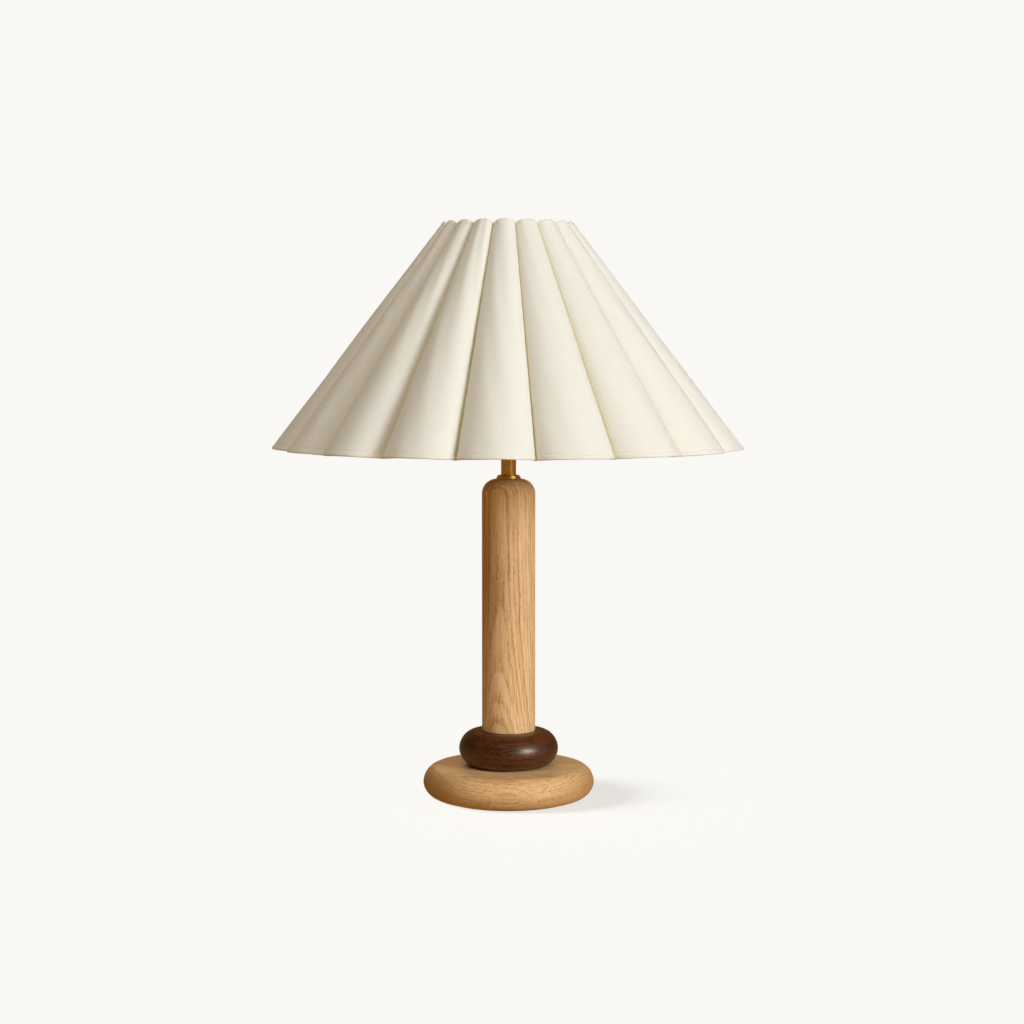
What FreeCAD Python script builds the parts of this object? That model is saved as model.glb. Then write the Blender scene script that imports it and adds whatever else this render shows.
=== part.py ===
import FreeCAD, Part
import math
import os

from FreeCAD import Vector

# A table lamp with a fluted, pleated shade on a turned oak column.
# Millimetres, +Z up, origin on the table under the column's axis, front towards -Y.
# Every piece is turned or bent about the same vertical axis and stacked from the table up.

# ---------------------------------------------------------------- fits and gaps
SCREW_GAP = 0.05        # radial gap between a plain screw and its plain thread
BORE_GAP = 0.3          # radial gap round the long tube where it passes through wood
PRESS_GAP = 0.05        # radial gap of parts pushed or screwed together
SPINDLE_GAP = 0.05      # radial running gap of the switch spindle
LAMP_GAP = 0.3          # radial gap between the bulb's cap and the screw shell
WIRE_GAP = 0.2          # gap between a frame wire and the cloth it is sewn to
WELD_GAP = 0.1          # gap left at a wire's welded end

# ---------------------------------------------------------------- base and foot
FELT_RADIUS = 57.0
FELT_THICKNESS = 1.5
BASE_RADIUS = 72.7
BASE_THICKNESS = 26.4
BASE_EDGE_HEIGHT = 12.8         # the edge is widest this far above the underside
BASE_TOP_EDGE = 11.0            # how far the upper round reaches in from the edge
BASE_FOOT_EDGE = 12.5           # how far the lower round reaches in from the edge
RECESS_RADIUS = 50.0
RECESS_DEPTH = 18.0

# ---------------------------------------------------------------- ballast in the base
WEIGHT_OUTER_RADIUS = 48.0
WEIGHT_INNER_RADIUS = 22.0
WEIGHT_THICKNESS = 12.0
WEIGHT_SLOT_WIDTH = 10.0        # slot to the rear for the lead
WOOD_SCREWS = 3
WOOD_SCREW_CIRCLE = 35.0
WOOD_SCREW_RADIUS = 2.0
WOOD_SCREW_BITE = 5.5           # length of the screw in the wood
WOOD_SCREW_HEAD_RADIUS = 4.0
WOOD_SCREW_HEAD_HEIGHT = 2.5

# ---------------------------------------------------------------- cord inlet
INLET_HEIGHT = 10.0             # centre above the base's underside
BUSH_SINK = 6.7                 # the bush's flange is seated this far inside the base's edge
BUSH_RADIUS = 5.0
BUSH_LENGTH = 14.0
BUSH_FLANGE_RADIUS = 6.5
BUSH_FLANGE_THICKNESS = 1.6
BUSH_BORE_RADIUS = 3.5

# ---------------------------------------------------------------- central tube and its nut
TUBE_RADIUS = 5.0
TUBE_BORE_RADIUS = 3.8
TUBE_BELOW_NUT = 1.0
TUBE_IN_HOLDER = 9.0
WASHER_RADIUS = 14.0
WASHER_THICKNESS = 2.0
LOCK_WASHER_RADIUS = 8.6
LOCK_WASHER_THICKNESS = 1.0
NUT_ACROSS_FLATS = 14.0
NUT_HEIGHT = 5.0

# ---------------------------------------------------------------- walnut ring and column
RING_RADIUS = 42.2
RING_THICKNESS = 30.2
RING_EDGE = 13.0                # how far its round edge reaches in
COLUMN_RADIUS = 22.6
COLUMN_LENGTH = 214.6
COLUMN_TOP_ROUND = 12.6

# ---------------------------------------------------------------- brass neck
COLLAR_RADIUS = 10.2
COLLAR_HEIGHT = 1.9
COLLAR_STEP_RADIUS = 9.2
COLLAR_STEP_HEIGHT = 1.3
NECK_RADIUS = 6.35
NECK_WALL = 1.0
NECK_LENGTH = 50.1

# ---------------------------------------------------------------- turned rounds
ROUND_STEPS = 5                 # facets along a quarter of a turned edge
WOOD_ROUND = 1.85               # 2 would make the wood's round edges true ellipses

# ---------------------------------------------------------------- lampholder
CAP_RADIUS = 20.0
CAP_WALL = 1.2
CAP_HEIGHT = 34.0
CAP_HUB_RADIUS = 9.0
CAP_HUB_HEIGHT = 5.0
CAP_FLARE_HEIGHT = 9.0
CAP_FLOOR = 15.0                # the insert stands this far above the foot of the holder
GRUB_RADIUS = 1.5
GRUB_HEIGHT = 2.5
INSERT_GAP = 0.3                # radial gap round the insert in the skirt
SKIRT_THREAD_RADIUS = 19.6
SKIRT_HEIGHT = 37.0
SKIRT_SPIGOT = 4.0              # length screwed into the cap
SKIRT_WALL = 1.9
SKIRT_LIP_RADIUS = 15.6
SKIRT_LIP_THICKNESS = 1.5
SOCKET_FLOOR = 44.0             # floor of the socket above the foot of the holder
SHELL_WALL = 0.4
SHELL_LIFT = 2.0                # the screw shell stands this far above the floor
SHELL_HEIGHT = 22.0
TAG_WIDTH = 5.0
TAG_THICKNESS = 0.5
CONTACT_LIFT = 3.0              # the bulb's contact rests this far above the floor
CONTACT_FOOT_REACH = 10.6       # the spring contact's foot starts this far in front of the axis
TERMINAL_RADIUS = 2.0
TERMINAL_HEIGHT = 2.5
TERMINAL_CIRCLE = 11.0

# ---------------------------------------------------------------- switch in the lampholder
SPINDLE_RADIUS = 2.0
SPINDLE_HEIGHT = 21.0           # above the foot of the holder
SPINDLE_INNER_END = 2.0
CAM_SIZE = 7.0
CAM_LENGTH = 5.0
CAM_START = 4.0
CAM_ROOM = 1.0
SWITCH_BUSH_RADIUS = 3.5
SWITCH_BUSH_FLANGE_RADIUS = 5.0
SWITCH_BUSH_FLANGE_THICKNESS = 1.5
KNOB_NECK_RADIUS = 3.6
KNOB_NECK_LENGTH = 4.0
KNOB_LENGTH = 14.0
KNOB_WIDTH = 15.0
KNOB_THICKNESS = 5.0
KNOB_ROOM = 0.5
KNOB_SOCKET_DEPTH = 6.0

# ---------------------------------------------------------------- bulb
CONTACT_RADIUS = 4.5
CONTACT_THICKNESS = 1.5
INSULATOR_FOOT_RADIUS = 5.0
INSULATOR_RADIUS = 11.4
INSULATOR_HEIGHT = 4.5
BULB_CAP_RADIUS = 13.0
BULB_CAP_LENGTH = 27.0          # from the contact to the cap's rim
BULB_LENGTH = 105.0             # from the contact to the crown
HOUSING_FOOT_RADIUS = 13.6
HOUSING_HEIGHT = 34.0
DOME_RADIUS = 30.0
DOME_STEPS = 6                  # facets from the dome's foot to its crown

# ---------------------------------------------------------------- shade frame
SHADE_RING_RADIUS = 28.0
SHADE_RING_HEIGHT = 5.0
SHADE_RING_GRIPS = 24           # flats round the rim, for the fingers
CLAMP_HEIGHT = 57.0             # underside of the carrier above the foot of the holder
CARRIER_INNER_RADIUS = 20.8
CARRIER_OUTER_RADIUS = 33.0
CARRIER_THICKNESS = 1.5
WIRE_RADIUS = 1.5
WIRE_SIDES = 6                  # the thin wires are drawn with this many flats
ARMS = 3
ARM_START_RADIUS = 29.5
ARM_KNEE_RADIUS = 45.0
ARM_BEND_RADIUS = 9.0
TOP_RING_DROP = 4.2             # from the cloth's upper valleys to the wire's centre
HEM_RING_RISE = 4.2             # from the cloth's lower valleys to the wire's centre
CARRIER_DROP = 101.7            # from the cloth's upper valleys to the carrier's underside

# ---------------------------------------------------------------- pleated cover
PLEATS = 18
FIRST_VALLEY_DEG = -103.1       # a valley just left of the front
HEM_CREST_RADIUS = 199.0
HEM_VALLEY_RADIUS = 176.0
TOP_CREST_RADIUS = 54.6
TOP_VALLEY_RADIUS = 50.4
COVER_HEIGHT = 187.4            # from the lower valleys to the upper ones
HEM_CREST_LIFT = 2.4            # a crest ends this much above its valleys at the hem
TOP_CREST_LIFT = 3.8            # and this much above them at the top
COVER_THICKNESS = 0.8
PLEAT_SKEW = 1.15               # above 1 moves the crest to the right of the middle
PLEAT_FULLNESS = 2.0            # 2 is an ellipse, and above 2 the crest is broader
PLEAT_STEPS = 12                # flat strips across one pleat


# ---------------------------------------------------------------- levels, from the table up
base_bottom = FELT_THICKNESS
base_top = base_bottom + BASE_THICKNESS
recess_roof = base_bottom + RECESS_DEPTH
ring_top = base_top + RING_THICKNESS
column_top = ring_top + COLUMN_LENGTH
collar_top = column_top + COLLAR_HEIGHT + COLLAR_STEP_HEIGHT
holder_foot = collar_top + NECK_LENGTH
cap_top = holder_foot + CAP_HEIGHT
skirt_top = cap_top + SKIRT_HEIGHT
socket_floor = holder_foot + SOCKET_FLOOR
contact_level = socket_floor + CONTACT_LIFT
insulator_bottom = contact_level + CONTACT_THICKNESS
insulator_top = insulator_bottom + INSULATOR_HEIGHT
bulb_rim = contact_level + BULB_CAP_LENGTH
dome_foot = bulb_rim + HOUSING_HEIGHT
dome_level = contact_level + BULB_LENGTH - DOME_RADIUS
dome_foot_radius = math.sqrt(DOME_RADIUS ** 2 - (dome_level - dome_foot) ** 2)
carrier_level = holder_foot + CLAMP_HEIGHT
carrier_top = carrier_level + CARRIER_THICKNESS
top_valley_level = carrier_level + CARRIER_DROP
hem_valley_level = top_valley_level - COVER_HEIGHT
top_ring_level = top_valley_level - TOP_RING_DROP
hem_ring_level = hem_valley_level + HEM_RING_RISE
weight_bottom = recess_roof - WEIGHT_THICKNESS
inlet_level = base_bottom + INLET_HEIGHT
bush_face = BASE_RADIUS - BUSH_SINK
washer_bottom = recess_roof - WASHER_THICKNESS
lock_washer_bottom = washer_bottom - LOCK_WASHER_THICKNESS
nut_bottom = lock_washer_bottom - NUT_HEIGHT
tube_bottom = nut_bottom - TUBE_BELOW_NUT
tube_top = holder_foot + TUBE_IN_HOLDER
tube_hole_radius = TUBE_RADIUS + BORE_GAP
tube_thread_radius = TUBE_RADIUS + SCREW_GAP
shell_inner_radius = BULB_CAP_RADIUS + LAMP_GAP
shell_outer_radius = shell_inner_radius + SHELL_WALL
cap_inner_radius = CAP_RADIUS - CAP_WALL
skirt_inner_radius = SKIRT_THREAD_RADIUS - SKIRT_WALL
insert_radius = skirt_inner_radius - INSERT_GAP
insert_bottom = holder_foot + CAP_FLOOR
lip_bottom = skirt_top - SKIRT_LIP_THICKNESS
spindle_level = holder_foot + SPINDLE_HEIGHT


def disc(radius, bottom, top, hole=0.0):
    """An upright cylinder between two levels, with an optional bore."""
    solid = Part.makeCylinder(radius, top - bottom, Vector(0, 0, bottom))
    if hole > 0:
        solid = solid.cut(Part.makeCylinder(hole, top - bottom, Vector(0, 0, bottom)))
    return solid


def turned_outline(points):
    """The solid that a closed outline of (radius, level) corners sweeps about the axis."""
    corners = [Vector(radius, 0, level) for radius, level in points + points[:1]]
    return Part.Face(Part.makePolygon(corners)).revolve(Vector(0, 0, 0), Vector(0, 0, 1), 360)


def quarter_round(centre, reach, rise, fullness, steps):
    """Corners along a quarter of a superellipse, from centre + reach to centre + rise."""
    corners = []
    for step in range(steps + 1):
        angle = math.pi / 2 * step / steps
        corners.append((
            centre[0] + reach * math.cos(angle) ** (2.0 / fullness),
            centre[1] + rise * math.sin(angle) ** (2.0 / fullness),
        ))
    return corners


def round_edged(radius, bottom, top, widest, foot_edge, top_edge, hole):
    """A turned disc with a full round edge, widest at its own level, with a centre bore."""
    foot = (radius - foot_edge, widest)
    crown = (radius - top_edge, widest)
    lower = quarter_round(foot, foot_edge, bottom - widest, WOOD_ROUND, ROUND_STEPS)
    upper = quarter_round(crown, top_edge, top - widest, WOOD_ROUND, ROUND_STEPS)
    return turned_outline([(hole, bottom)] + lower[:0:-1] + upper + [(hole, top)])


def around(count, start_deg=0.0):
    """The directions of evenly spaced copies about the axis, in degrees."""
    return [start_deg + 360.0 * i / count for i in range(count)]


def turned_by(solid, angle_deg):
    """A copy of a solid turned about the lamp's axis."""
    copy = solid.copy()
    copy.rotate(Vector(0, 0, 0), Vector(0, 0, 1), angle_deg)
    return copy


def prism(sides, radius, bottom, height):
    """An upright prism with its corners on a circle about the axis."""
    corners = [
        Vector(radius * math.cos(math.radians(a)), radius * math.sin(math.radians(a)), bottom)
        for a in around(sides)
    ]
    return Part.Face(Part.makePolygon(corners + corners[:1])).extrude(Vector(0, 0, height))


# ---------------------------------------------------------------- base
def make_felt_pad():
    return disc(FELT_RADIUS, 0.0, base_bottom)


def wood_screw(radius_gap, head_gap):
    """One countersunk wood screw, or its hole when the gaps are above zero."""
    shank = disc(WOOD_SCREW_RADIUS + radius_gap, weight_bottom, recess_roof + WOOD_SCREW_BITE)
    head = Part.makeCone(
        WOOD_SCREW_HEAD_RADIUS + head_gap,
        WOOD_SCREW_RADIUS + radius_gap,
        WOOD_SCREW_HEAD_HEIGHT,
        Vector(0, 0, weight_bottom),
    )
    screw = shank.fuse(head).removeSplitter()
    screw.translate(Vector(WOOD_SCREW_CIRCLE, 0, 0))
    return screw


def wood_screws(radius_gap=0.0, head_gap=0.0):
    first = wood_screw(radius_gap, head_gap)
    return [turned_by(first, angle) for angle in around(WOOD_SCREWS, -90.0)]


def inlet_cylinder(radius, start, end):
    """A cylinder along the cord inlet, from start to end behind the lamp's axis."""
    return Part.makeCylinder(radius, end - start, Vector(0, start, inlet_level), Vector(0, 1, 0))


def make_base_disc():
    widest = base_bottom + BASE_EDGE_HEIGHT
    base = round_edged(BASE_RADIUS, base_bottom, base_top, widest, BASE_FOOT_EDGE, BASE_TOP_EDGE,
                       tube_hole_radius)
    base = base.cut(disc(RECESS_RADIUS, base_bottom, recess_roof))
    base = base.cut(inlet_cylinder(BUSH_RADIUS + PRESS_GAP, 0, bush_face))
    base = base.cut(inlet_cylinder(BUSH_FLANGE_RADIUS + BORE_GAP, bush_face, BASE_RADIUS))
    for hole in wood_screws(SCREW_GAP, SCREW_GAP):
        base = base.cut(hole)
    return base


def make_base_weight():
    weight = disc(WEIGHT_OUTER_RADIUS, weight_bottom, recess_roof, WEIGHT_INNER_RADIUS)
    slot = Part.makeBox(WEIGHT_SLOT_WIDTH, WEIGHT_OUTER_RADIUS, WEIGHT_THICKNESS,
                        Vector(-WEIGHT_SLOT_WIDTH / 2, 0, weight_bottom))
    weight = weight.cut(slot)
    for hole in wood_screws(SCREW_GAP, SCREW_GAP):
        weight = weight.cut(hole)
    return weight


def make_weight_screws():
    return Part.Compound(wood_screws())


def make_cord_bush():
    flange_end = bush_face + BUSH_FLANGE_THICKNESS
    bush = inlet_cylinder(BUSH_RADIUS, bush_face - BUSH_LENGTH, bush_face)
    bush = bush.fuse(inlet_cylinder(BUSH_FLANGE_RADIUS, bush_face, flange_end))
    bore = inlet_cylinder(BUSH_BORE_RADIUS, bush_face - BUSH_LENGTH, flange_end)
    return bush.cut(bore).removeSplitter()


def make_base_washer():
    return disc(WASHER_RADIUS, washer_bottom, recess_roof, tube_hole_radius)


def make_lock_washer():
    return disc(LOCK_WASHER_RADIUS, lock_washer_bottom, washer_bottom, tube_hole_radius)


def make_base_nut():
    nut = prism(6, NUT_ACROSS_FLATS / math.sqrt(3), nut_bottom, NUT_HEIGHT)
    return nut.cut(disc(tube_thread_radius, nut_bottom, lock_washer_bottom))


def make_threaded_tube():
    return disc(TUBE_RADIUS, tube_bottom, tube_top, TUBE_BORE_RADIUS)


# ---------------------------------------------------------------- ring, column and neck
def make_walnut_ring():
    widest = base_top + RING_THICKNESS / 2
    return round_edged(RING_RADIUS, base_top, ring_top, widest, RING_EDGE, RING_EDGE,
                       tube_hole_radius)


def make_column():
    shoulder = column_top - COLUMN_TOP_ROUND
    flat_radius = COLUMN_RADIUS - COLUMN_TOP_ROUND
    top = quarter_round((flat_radius, shoulder), COLUMN_TOP_ROUND, COLUMN_TOP_ROUND, 2.0, ROUND_STEPS)
    return turned_outline([(tube_hole_radius, ring_top), (COLUMN_RADIUS, ring_top)]
                          + top + [(tube_hole_radius, column_top)])


def make_brass_collar():
    step = column_top + COLLAR_HEIGHT
    lower = disc(COLLAR_RADIUS, column_top, step, tube_hole_radius)
    upper = disc(COLLAR_STEP_RADIUS, step, collar_top, tube_hole_radius)
    return lower.fuse(upper).removeSplitter()


def make_neck_tube():
    return disc(NECK_RADIUS, collar_top, holder_foot, NECK_RADIUS - NECK_WALL)


# ---------------------------------------------------------------- lampholder
def across(radius, start, end, level):
    """A cylinder along +X at a level, from start to end beside the lamp's axis."""
    return Part.makeCylinder(radius, end - start, Vector(start, 0, level), Vector(1, 0, 0))


def make_holder_cap():
    hub_top = holder_foot + CAP_HUB_HEIGHT
    cap = turned_outline([
        (tube_thread_radius, holder_foot),
        (CAP_HUB_RADIUS, holder_foot),
        (CAP_HUB_RADIUS, hub_top),
        (CAP_RADIUS, hub_top + CAP_FLARE_HEIGHT),
        (CAP_RADIUS, cap_top),
        (cap_inner_radius, cap_top),
        (cap_inner_radius, insert_bottom),
        (tube_thread_radius, insert_bottom),
    ])
    cap = cap.cut(across(SWITCH_BUSH_RADIUS + PRESS_GAP, insert_radius, CAP_RADIUS, spindle_level))
    grub_hole = Part.makeCylinder(GRUB_RADIUS + SCREW_GAP, CAP_RADIUS,
                                  Vector(0, 0, holder_foot + GRUB_HEIGHT), Vector(0, -1, 0))
    return cap.cut(grub_hole)


def make_cap_grub_screw():
    length = CAP_HUB_RADIUS - tube_thread_radius
    return Part.makeCylinder(GRUB_RADIUS, length,
                             Vector(0, -tube_thread_radius, holder_foot + GRUB_HEIGHT), Vector(0, -1, 0))


def make_holder_skirt():
    spigot_radius = cap_inner_radius - SCREW_GAP
    spigot_bottom = cap_top - SKIRT_SPIGOT
    return turned_outline([
        (skirt_inner_radius, spigot_bottom),
        (spigot_radius, spigot_bottom),
        (spigot_radius, cap_top),
        (SKIRT_THREAD_RADIUS, cap_top),
        (SKIRT_THREAD_RADIUS, skirt_top),
        (SKIRT_LIP_RADIUS, skirt_top),
        (SKIRT_LIP_RADIUS, lip_bottom),
        (skirt_inner_radius, lip_bottom),
    ])


def terminal_places():
    """Where the two terminal screws stand, in front of and behind the axis."""
    return [-TERMINAL_CIRCLE, TERMINAL_CIRCLE]


def make_holder_insert():
    """The porcelain body: socket above, switch chamber and terminals below."""
    insert = disc(insert_radius, insert_bottom, lip_bottom)
    insert = insert.cut(disc(shell_outer_radius + PRESS_GAP, socket_floor, lip_bottom))
    cam_reach = CAM_SIZE / math.sqrt(2) + CAM_ROOM
    chamber = Part.makeBox(
        CAM_LENGTH + 2 * CAM_ROOM,
        2 * cam_reach,
        spindle_level - insert_bottom + cam_reach,
        Vector(CAM_START - CAM_ROOM, -cam_reach, insert_bottom),
    )
    insert = insert.cut(chamber)
    insert = insert.cut(across(SPINDLE_RADIUS + SPINDLE_GAP, SPINDLE_INNER_END - CAM_ROOM,
                               insert_radius, spindle_level))
    for y in terminal_places():
        seat = Part.makeCylinder(TERMINAL_RADIUS + SCREW_GAP, TERMINAL_HEIGHT, Vector(0, y, insert_bottom))
        insert = insert.cut(seat)
    return insert


def make_terminal_screws():
    screws = [
        Part.makeCylinder(TERMINAL_RADIUS, TERMINAL_HEIGHT, Vector(0, y, insert_bottom))
        for y in terminal_places()
    ]
    return Part.Compound(screws)


def make_screw_shell():
    bottom = socket_floor + SHELL_LIFT
    shell = disc(shell_outer_radius, bottom, bottom + SHELL_HEIGHT, shell_inner_radius)
    foot = disc(shell_outer_radius, socket_floor, bottom, shell_inner_radius)
    side = Part.makeBox(2 * shell_outer_radius, TAG_WIDTH, SHELL_LIFT,
                        Vector(-shell_outer_radius, -TAG_WIDTH / 2, socket_floor))
    return shell.fuse(foot.common(side)).removeSplitter()


def bent_tag(foot_start, foot_end, tip_end, rise):
    """A strip of sheet brass on the socket's floor that rises to a flat tongue, along Y."""
    low = socket_floor
    high = socket_floor + rise
    outline = [
        Vector(0, foot_start, low),
        Vector(0, foot_end, low),
        Vector(0, foot_end + rise, high - TAG_THICKNESS),
        Vector(0, tip_end, high - TAG_THICKNESS),
        Vector(0, tip_end, high),
        Vector(0, foot_end + rise - TAG_THICKNESS, high),
        Vector(0, foot_end - TAG_THICKNESS, low + TAG_THICKNESS),
        Vector(0, foot_start, low + TAG_THICKNESS),
    ]
    strip = Part.Face(Part.makePolygon(outline + outline[:1])).extrude(Vector(TAG_WIDTH, 0, 0))
    strip.translate(Vector(-TAG_WIDTH / 2, 0, 0))
    return strip


def make_centre_contact():
    foot_end = TAG_WIDTH - CONTACT_FOOT_REACH
    return bent_tag(-CONTACT_FOOT_REACH, foot_end, CONTACT_RADIUS, CONTACT_LIFT)


# ---------------------------------------------------------------- switch
def make_switch_spindle():
    end = CAP_RADIUS + SWITCH_BUSH_FLANGE_THICKNESS + KNOB_ROOM + KNOB_SOCKET_DEPTH
    return across(SPINDLE_RADIUS, SPINDLE_INNER_END, end, spindle_level)


def make_switch_cam():
    half = CAM_SIZE / 2
    cam = Part.makeBox(CAM_LENGTH, CAM_SIZE, CAM_SIZE, Vector(CAM_START, -half, spindle_level - half))
    return cam.cut(across(SPINDLE_RADIUS + PRESS_GAP, CAM_START, CAM_START + CAM_LENGTH, spindle_level))


def make_switch_bush():
    flange_end = CAP_RADIUS + SWITCH_BUSH_FLANGE_THICKNESS
    body = across(SWITCH_BUSH_RADIUS, insert_radius + BORE_GAP, CAP_RADIUS, spindle_level)
    flange = across(SWITCH_BUSH_FLANGE_RADIUS, CAP_RADIUS, flange_end, spindle_level)
    bore = across(SPINDLE_RADIUS + SPINDLE_GAP, 0, flange_end, spindle_level)
    return body.fuse(flange).cut(bore).removeSplitter()


def make_switch_knob():
    """A flat thumb piece with a round end, on a short neck."""
    start = CAP_RADIUS + SWITCH_BUSH_FLANGE_THICKNESS + KNOB_ROOM
    neck_end = start + KNOB_NECK_LENGTH
    half = KNOB_WIDTH / 2
    straight_end = neck_end + KNOB_LENGTH - half
    side = -KNOB_THICKNESS / 2
    lower = Vector(neck_end, side, spindle_level - half)
    upper = Vector(neck_end, side, spindle_level + half)
    lower_corner = Vector(straight_end, side, spindle_level - half)
    upper_corner = Vector(straight_end, side, spindle_level + half)
    tip = Vector(neck_end + KNOB_LENGTH, side, spindle_level)
    outline = Part.Wire([
        Part.LineSegment(lower, lower_corner).toShape(),
        Part.Arc(lower_corner, tip, upper_corner).toShape(),
        Part.LineSegment(upper_corner, upper).toShape(),
        Part.LineSegment(upper, lower).toShape(),
    ])
    paddle = Part.Face(outline).extrude(Vector(0, KNOB_THICKNESS, 0))
    knob = paddle.fuse(across(KNOB_NECK_RADIUS, start, straight_end, spindle_level))
    socket = across(SPINDLE_RADIUS + PRESS_GAP, start, start + KNOB_SOCKET_DEPTH, spindle_level)
    return knob.cut(socket)


# ---------------------------------------------------------------- bulb
def make_bulb_contact():
    return disc(CONTACT_RADIUS, contact_level, insulator_bottom)


def make_bulb_insulator():
    return Part.makeCone(INSULATOR_FOOT_RADIUS, INSULATOR_RADIUS, INSULATOR_HEIGHT,
                         Vector(0, 0, insulator_bottom))


def make_bulb_cap():
    shoulder = insulator_top + BULB_CAP_RADIUS - INSULATOR_RADIUS
    return turned_outline([
        (0.0, insulator_top),
        (INSULATOR_RADIUS, insulator_top),
        (BULB_CAP_RADIUS, shoulder),
        (BULB_CAP_RADIUS, bulb_rim),
        (0.0, bulb_rim),
    ])


def make_bulb_housing():
    """The cone between the screw cap and the light-giving dome."""
    return Part.makeCone(HOUSING_FOOT_RADIUS, dome_foot_radius, HOUSING_HEIGHT, Vector(0, 0, bulb_rim))


def make_bulb_dome():
    """The ball above the housing: its outline runs from the foot's angle to the crown."""
    start = math.asin((dome_foot - dome_level) / DOME_RADIUS)
    outline = [(0.0, dome_foot)]
    for step in range(DOME_STEPS):
        angle = start + (math.pi / 2 - start) * step / DOME_STEPS
        outline.append((DOME_RADIUS * math.cos(angle), dome_level + DOME_RADIUS * math.sin(angle)))
    outline.append((0.0, dome_level + DOME_RADIUS))
    return turned_outline(outline)


# ---------------------------------------------------------------- shade frame
def shade_ring(bottom):
    ring = prism(SHADE_RING_GRIPS, SHADE_RING_RADIUS, bottom, SHADE_RING_HEIGHT)
    return ring.cut(disc(SKIRT_THREAD_RADIUS + SCREW_GAP, bottom, bottom + SHADE_RING_HEIGHT))


def make_shade_ring_lower():
    return shade_ring(carrier_level - SHADE_RING_HEIGHT)


def make_shade_ring_upper():
    return shade_ring(carrier_top)


def make_carrier_ring():
    return disc(CARRIER_OUTER_RADIUS, carrier_level, carrier_top, CARRIER_INNER_RADIUS)


def valley_radius(level):
    """Radius of the cloth's outer valleys at a level."""
    fall = (top_valley_level - level) / COVER_HEIGHT
    return TOP_VALLEY_RADIUS + (HEM_VALLEY_RADIUS - TOP_VALLEY_RADIUS) * fall


def ring_wire_radius(level):
    """Centre radius of a wire that lies inside the valleys' ridges at a level."""
    slope = (HEM_VALLEY_RADIUS - TOP_VALLEY_RADIUS) / COVER_HEIGHT
    reach = (WIRE_RADIUS + WIRE_GAP) * math.hypot(1.0, slope)
    return valley_radius(level) - COVER_THICKNESS - reach


def wire_ring(level):
    radius = ring_wire_radius(level)
    corners = [math.radians(angle) for angle in around(WIRE_SIDES)]
    return turned_outline([
        (radius + WIRE_RADIUS * math.cos(a), level + WIRE_RADIUS * math.sin(a)) for a in corners
    ])


def make_shade_top_ring():
    return wire_ring(top_ring_level)


def make_shade_hem_ring():
    return wire_ring(hem_ring_level)


def carrier_arm():
    """One bent wire: out along the carrier, round a knee and up to the top ring."""
    flat = carrier_top + WIRE_RADIUS + WELD_GAP
    start = Vector(ARM_START_RADIUS, 0, flat)
    knee = Vector(ARM_KNEE_RADIUS, 0, flat)
    end = Vector(ring_wire_radius(top_ring_level), 0, top_ring_level - WIRE_RADIUS - WELD_GAP)
    out = (knee - start).normalize()
    up = (end - knee).normalize()
    turn = out.getAngle(up)
    cut_back = ARM_BEND_RADIUS * math.tan(turn / 2)
    bend_start = knee - out * cut_back
    bend_end = knee + up * cut_back
    to_centre = (up - out).normalize()
    bend_centre = knee + to_centre * (ARM_BEND_RADIUS / math.cos(turn / 2))
    bend_middle = bend_centre - to_centre * ARM_BEND_RADIUS
    path = Part.Wire([
        Part.LineSegment(start, bend_start).toShape(),
        Part.Arc(bend_start, bend_middle, bend_end).toShape(),
        Part.LineSegment(bend_end, end).toShape(),
    ])
    corners = [
        start + Vector(0, WIRE_RADIUS * math.cos(math.radians(a)), WIRE_RADIUS * math.sin(math.radians(a)))
        for a in around(WIRE_SIDES)
    ]
    section = Part.makePolygon(corners + corners[:1])
    return path.makePipeShell([section], True, False)


def make_carrier_arms():
    first = carrier_arm()
    return Part.Compound([turned_by(first, angle) for angle in around(ARMS, 90.0)])


# ---------------------------------------------------------------- pleated cover
def pleat_swell(share):
    """How far a pleat stands out at a share of its width: 0 in a valley, 1 on the crest.

    A superellipse over the pleat's width, whose crest is pushed towards the right.
    """
    centred = abs(2.0 * share ** PLEAT_SKEW - 1.0)
    return math.sqrt(max(0.0, 1.0 - centred ** PLEAT_FULLNESS))


def pleat_edge(valley_deg, inset_deg, valley, crest, level, lift):
    """Corners along one pleat at a rim, from valley to valley, closest in the steep folds."""
    pitch = 360.0 / PLEATS
    corners = []
    for step in range(PLEAT_STEPS + 1):
        share = (1.0 - math.cos(math.pi * step / PLEAT_STEPS)) / 2.0
        swell = pleat_swell(share)
        angle = math.radians(valley_deg + inset_deg + (pitch - 2.0 * inset_deg) * share)
        radius = valley + (crest - valley) * swell
        corners.append(Vector(radius * math.cos(angle), radius * math.sin(angle), level + lift * swell))
    return corners


def pleat_rim(valley, crest, level, lift):
    """Outer and inner corners of every pleat at one rim, the inner ones a cloth's thickness in."""
    fold_deg = math.degrees(COVER_THICKNESS / valley)
    inner_valley = valley - COVER_THICKNESS
    inner_crest = crest - COVER_THICKNESS
    outer = []
    inner = []
    for valley_deg in around(PLEATS, FIRST_VALLEY_DEG):
        outer.append(pleat_edge(valley_deg, 0.0, valley, crest, level, lift))
        inner.append(pleat_edge(valley_deg, fold_deg, inner_valley, inner_crest, level, lift))
    return outer, inner


def triangle(a, b, c):
    return Part.Face(Part.makePolygon([a, b, c, a]))


def strip(lower, upper):
    """Flat faces between two rows of corners that follow each other."""
    faces = []
    for i in range(len(lower) - 1):
        faces.append(triangle(lower[i], lower[i + 1], upper[i]))
        faces.append(triangle(lower[i + 1], upper[i + 1], upper[i]))
    return faces


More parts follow.
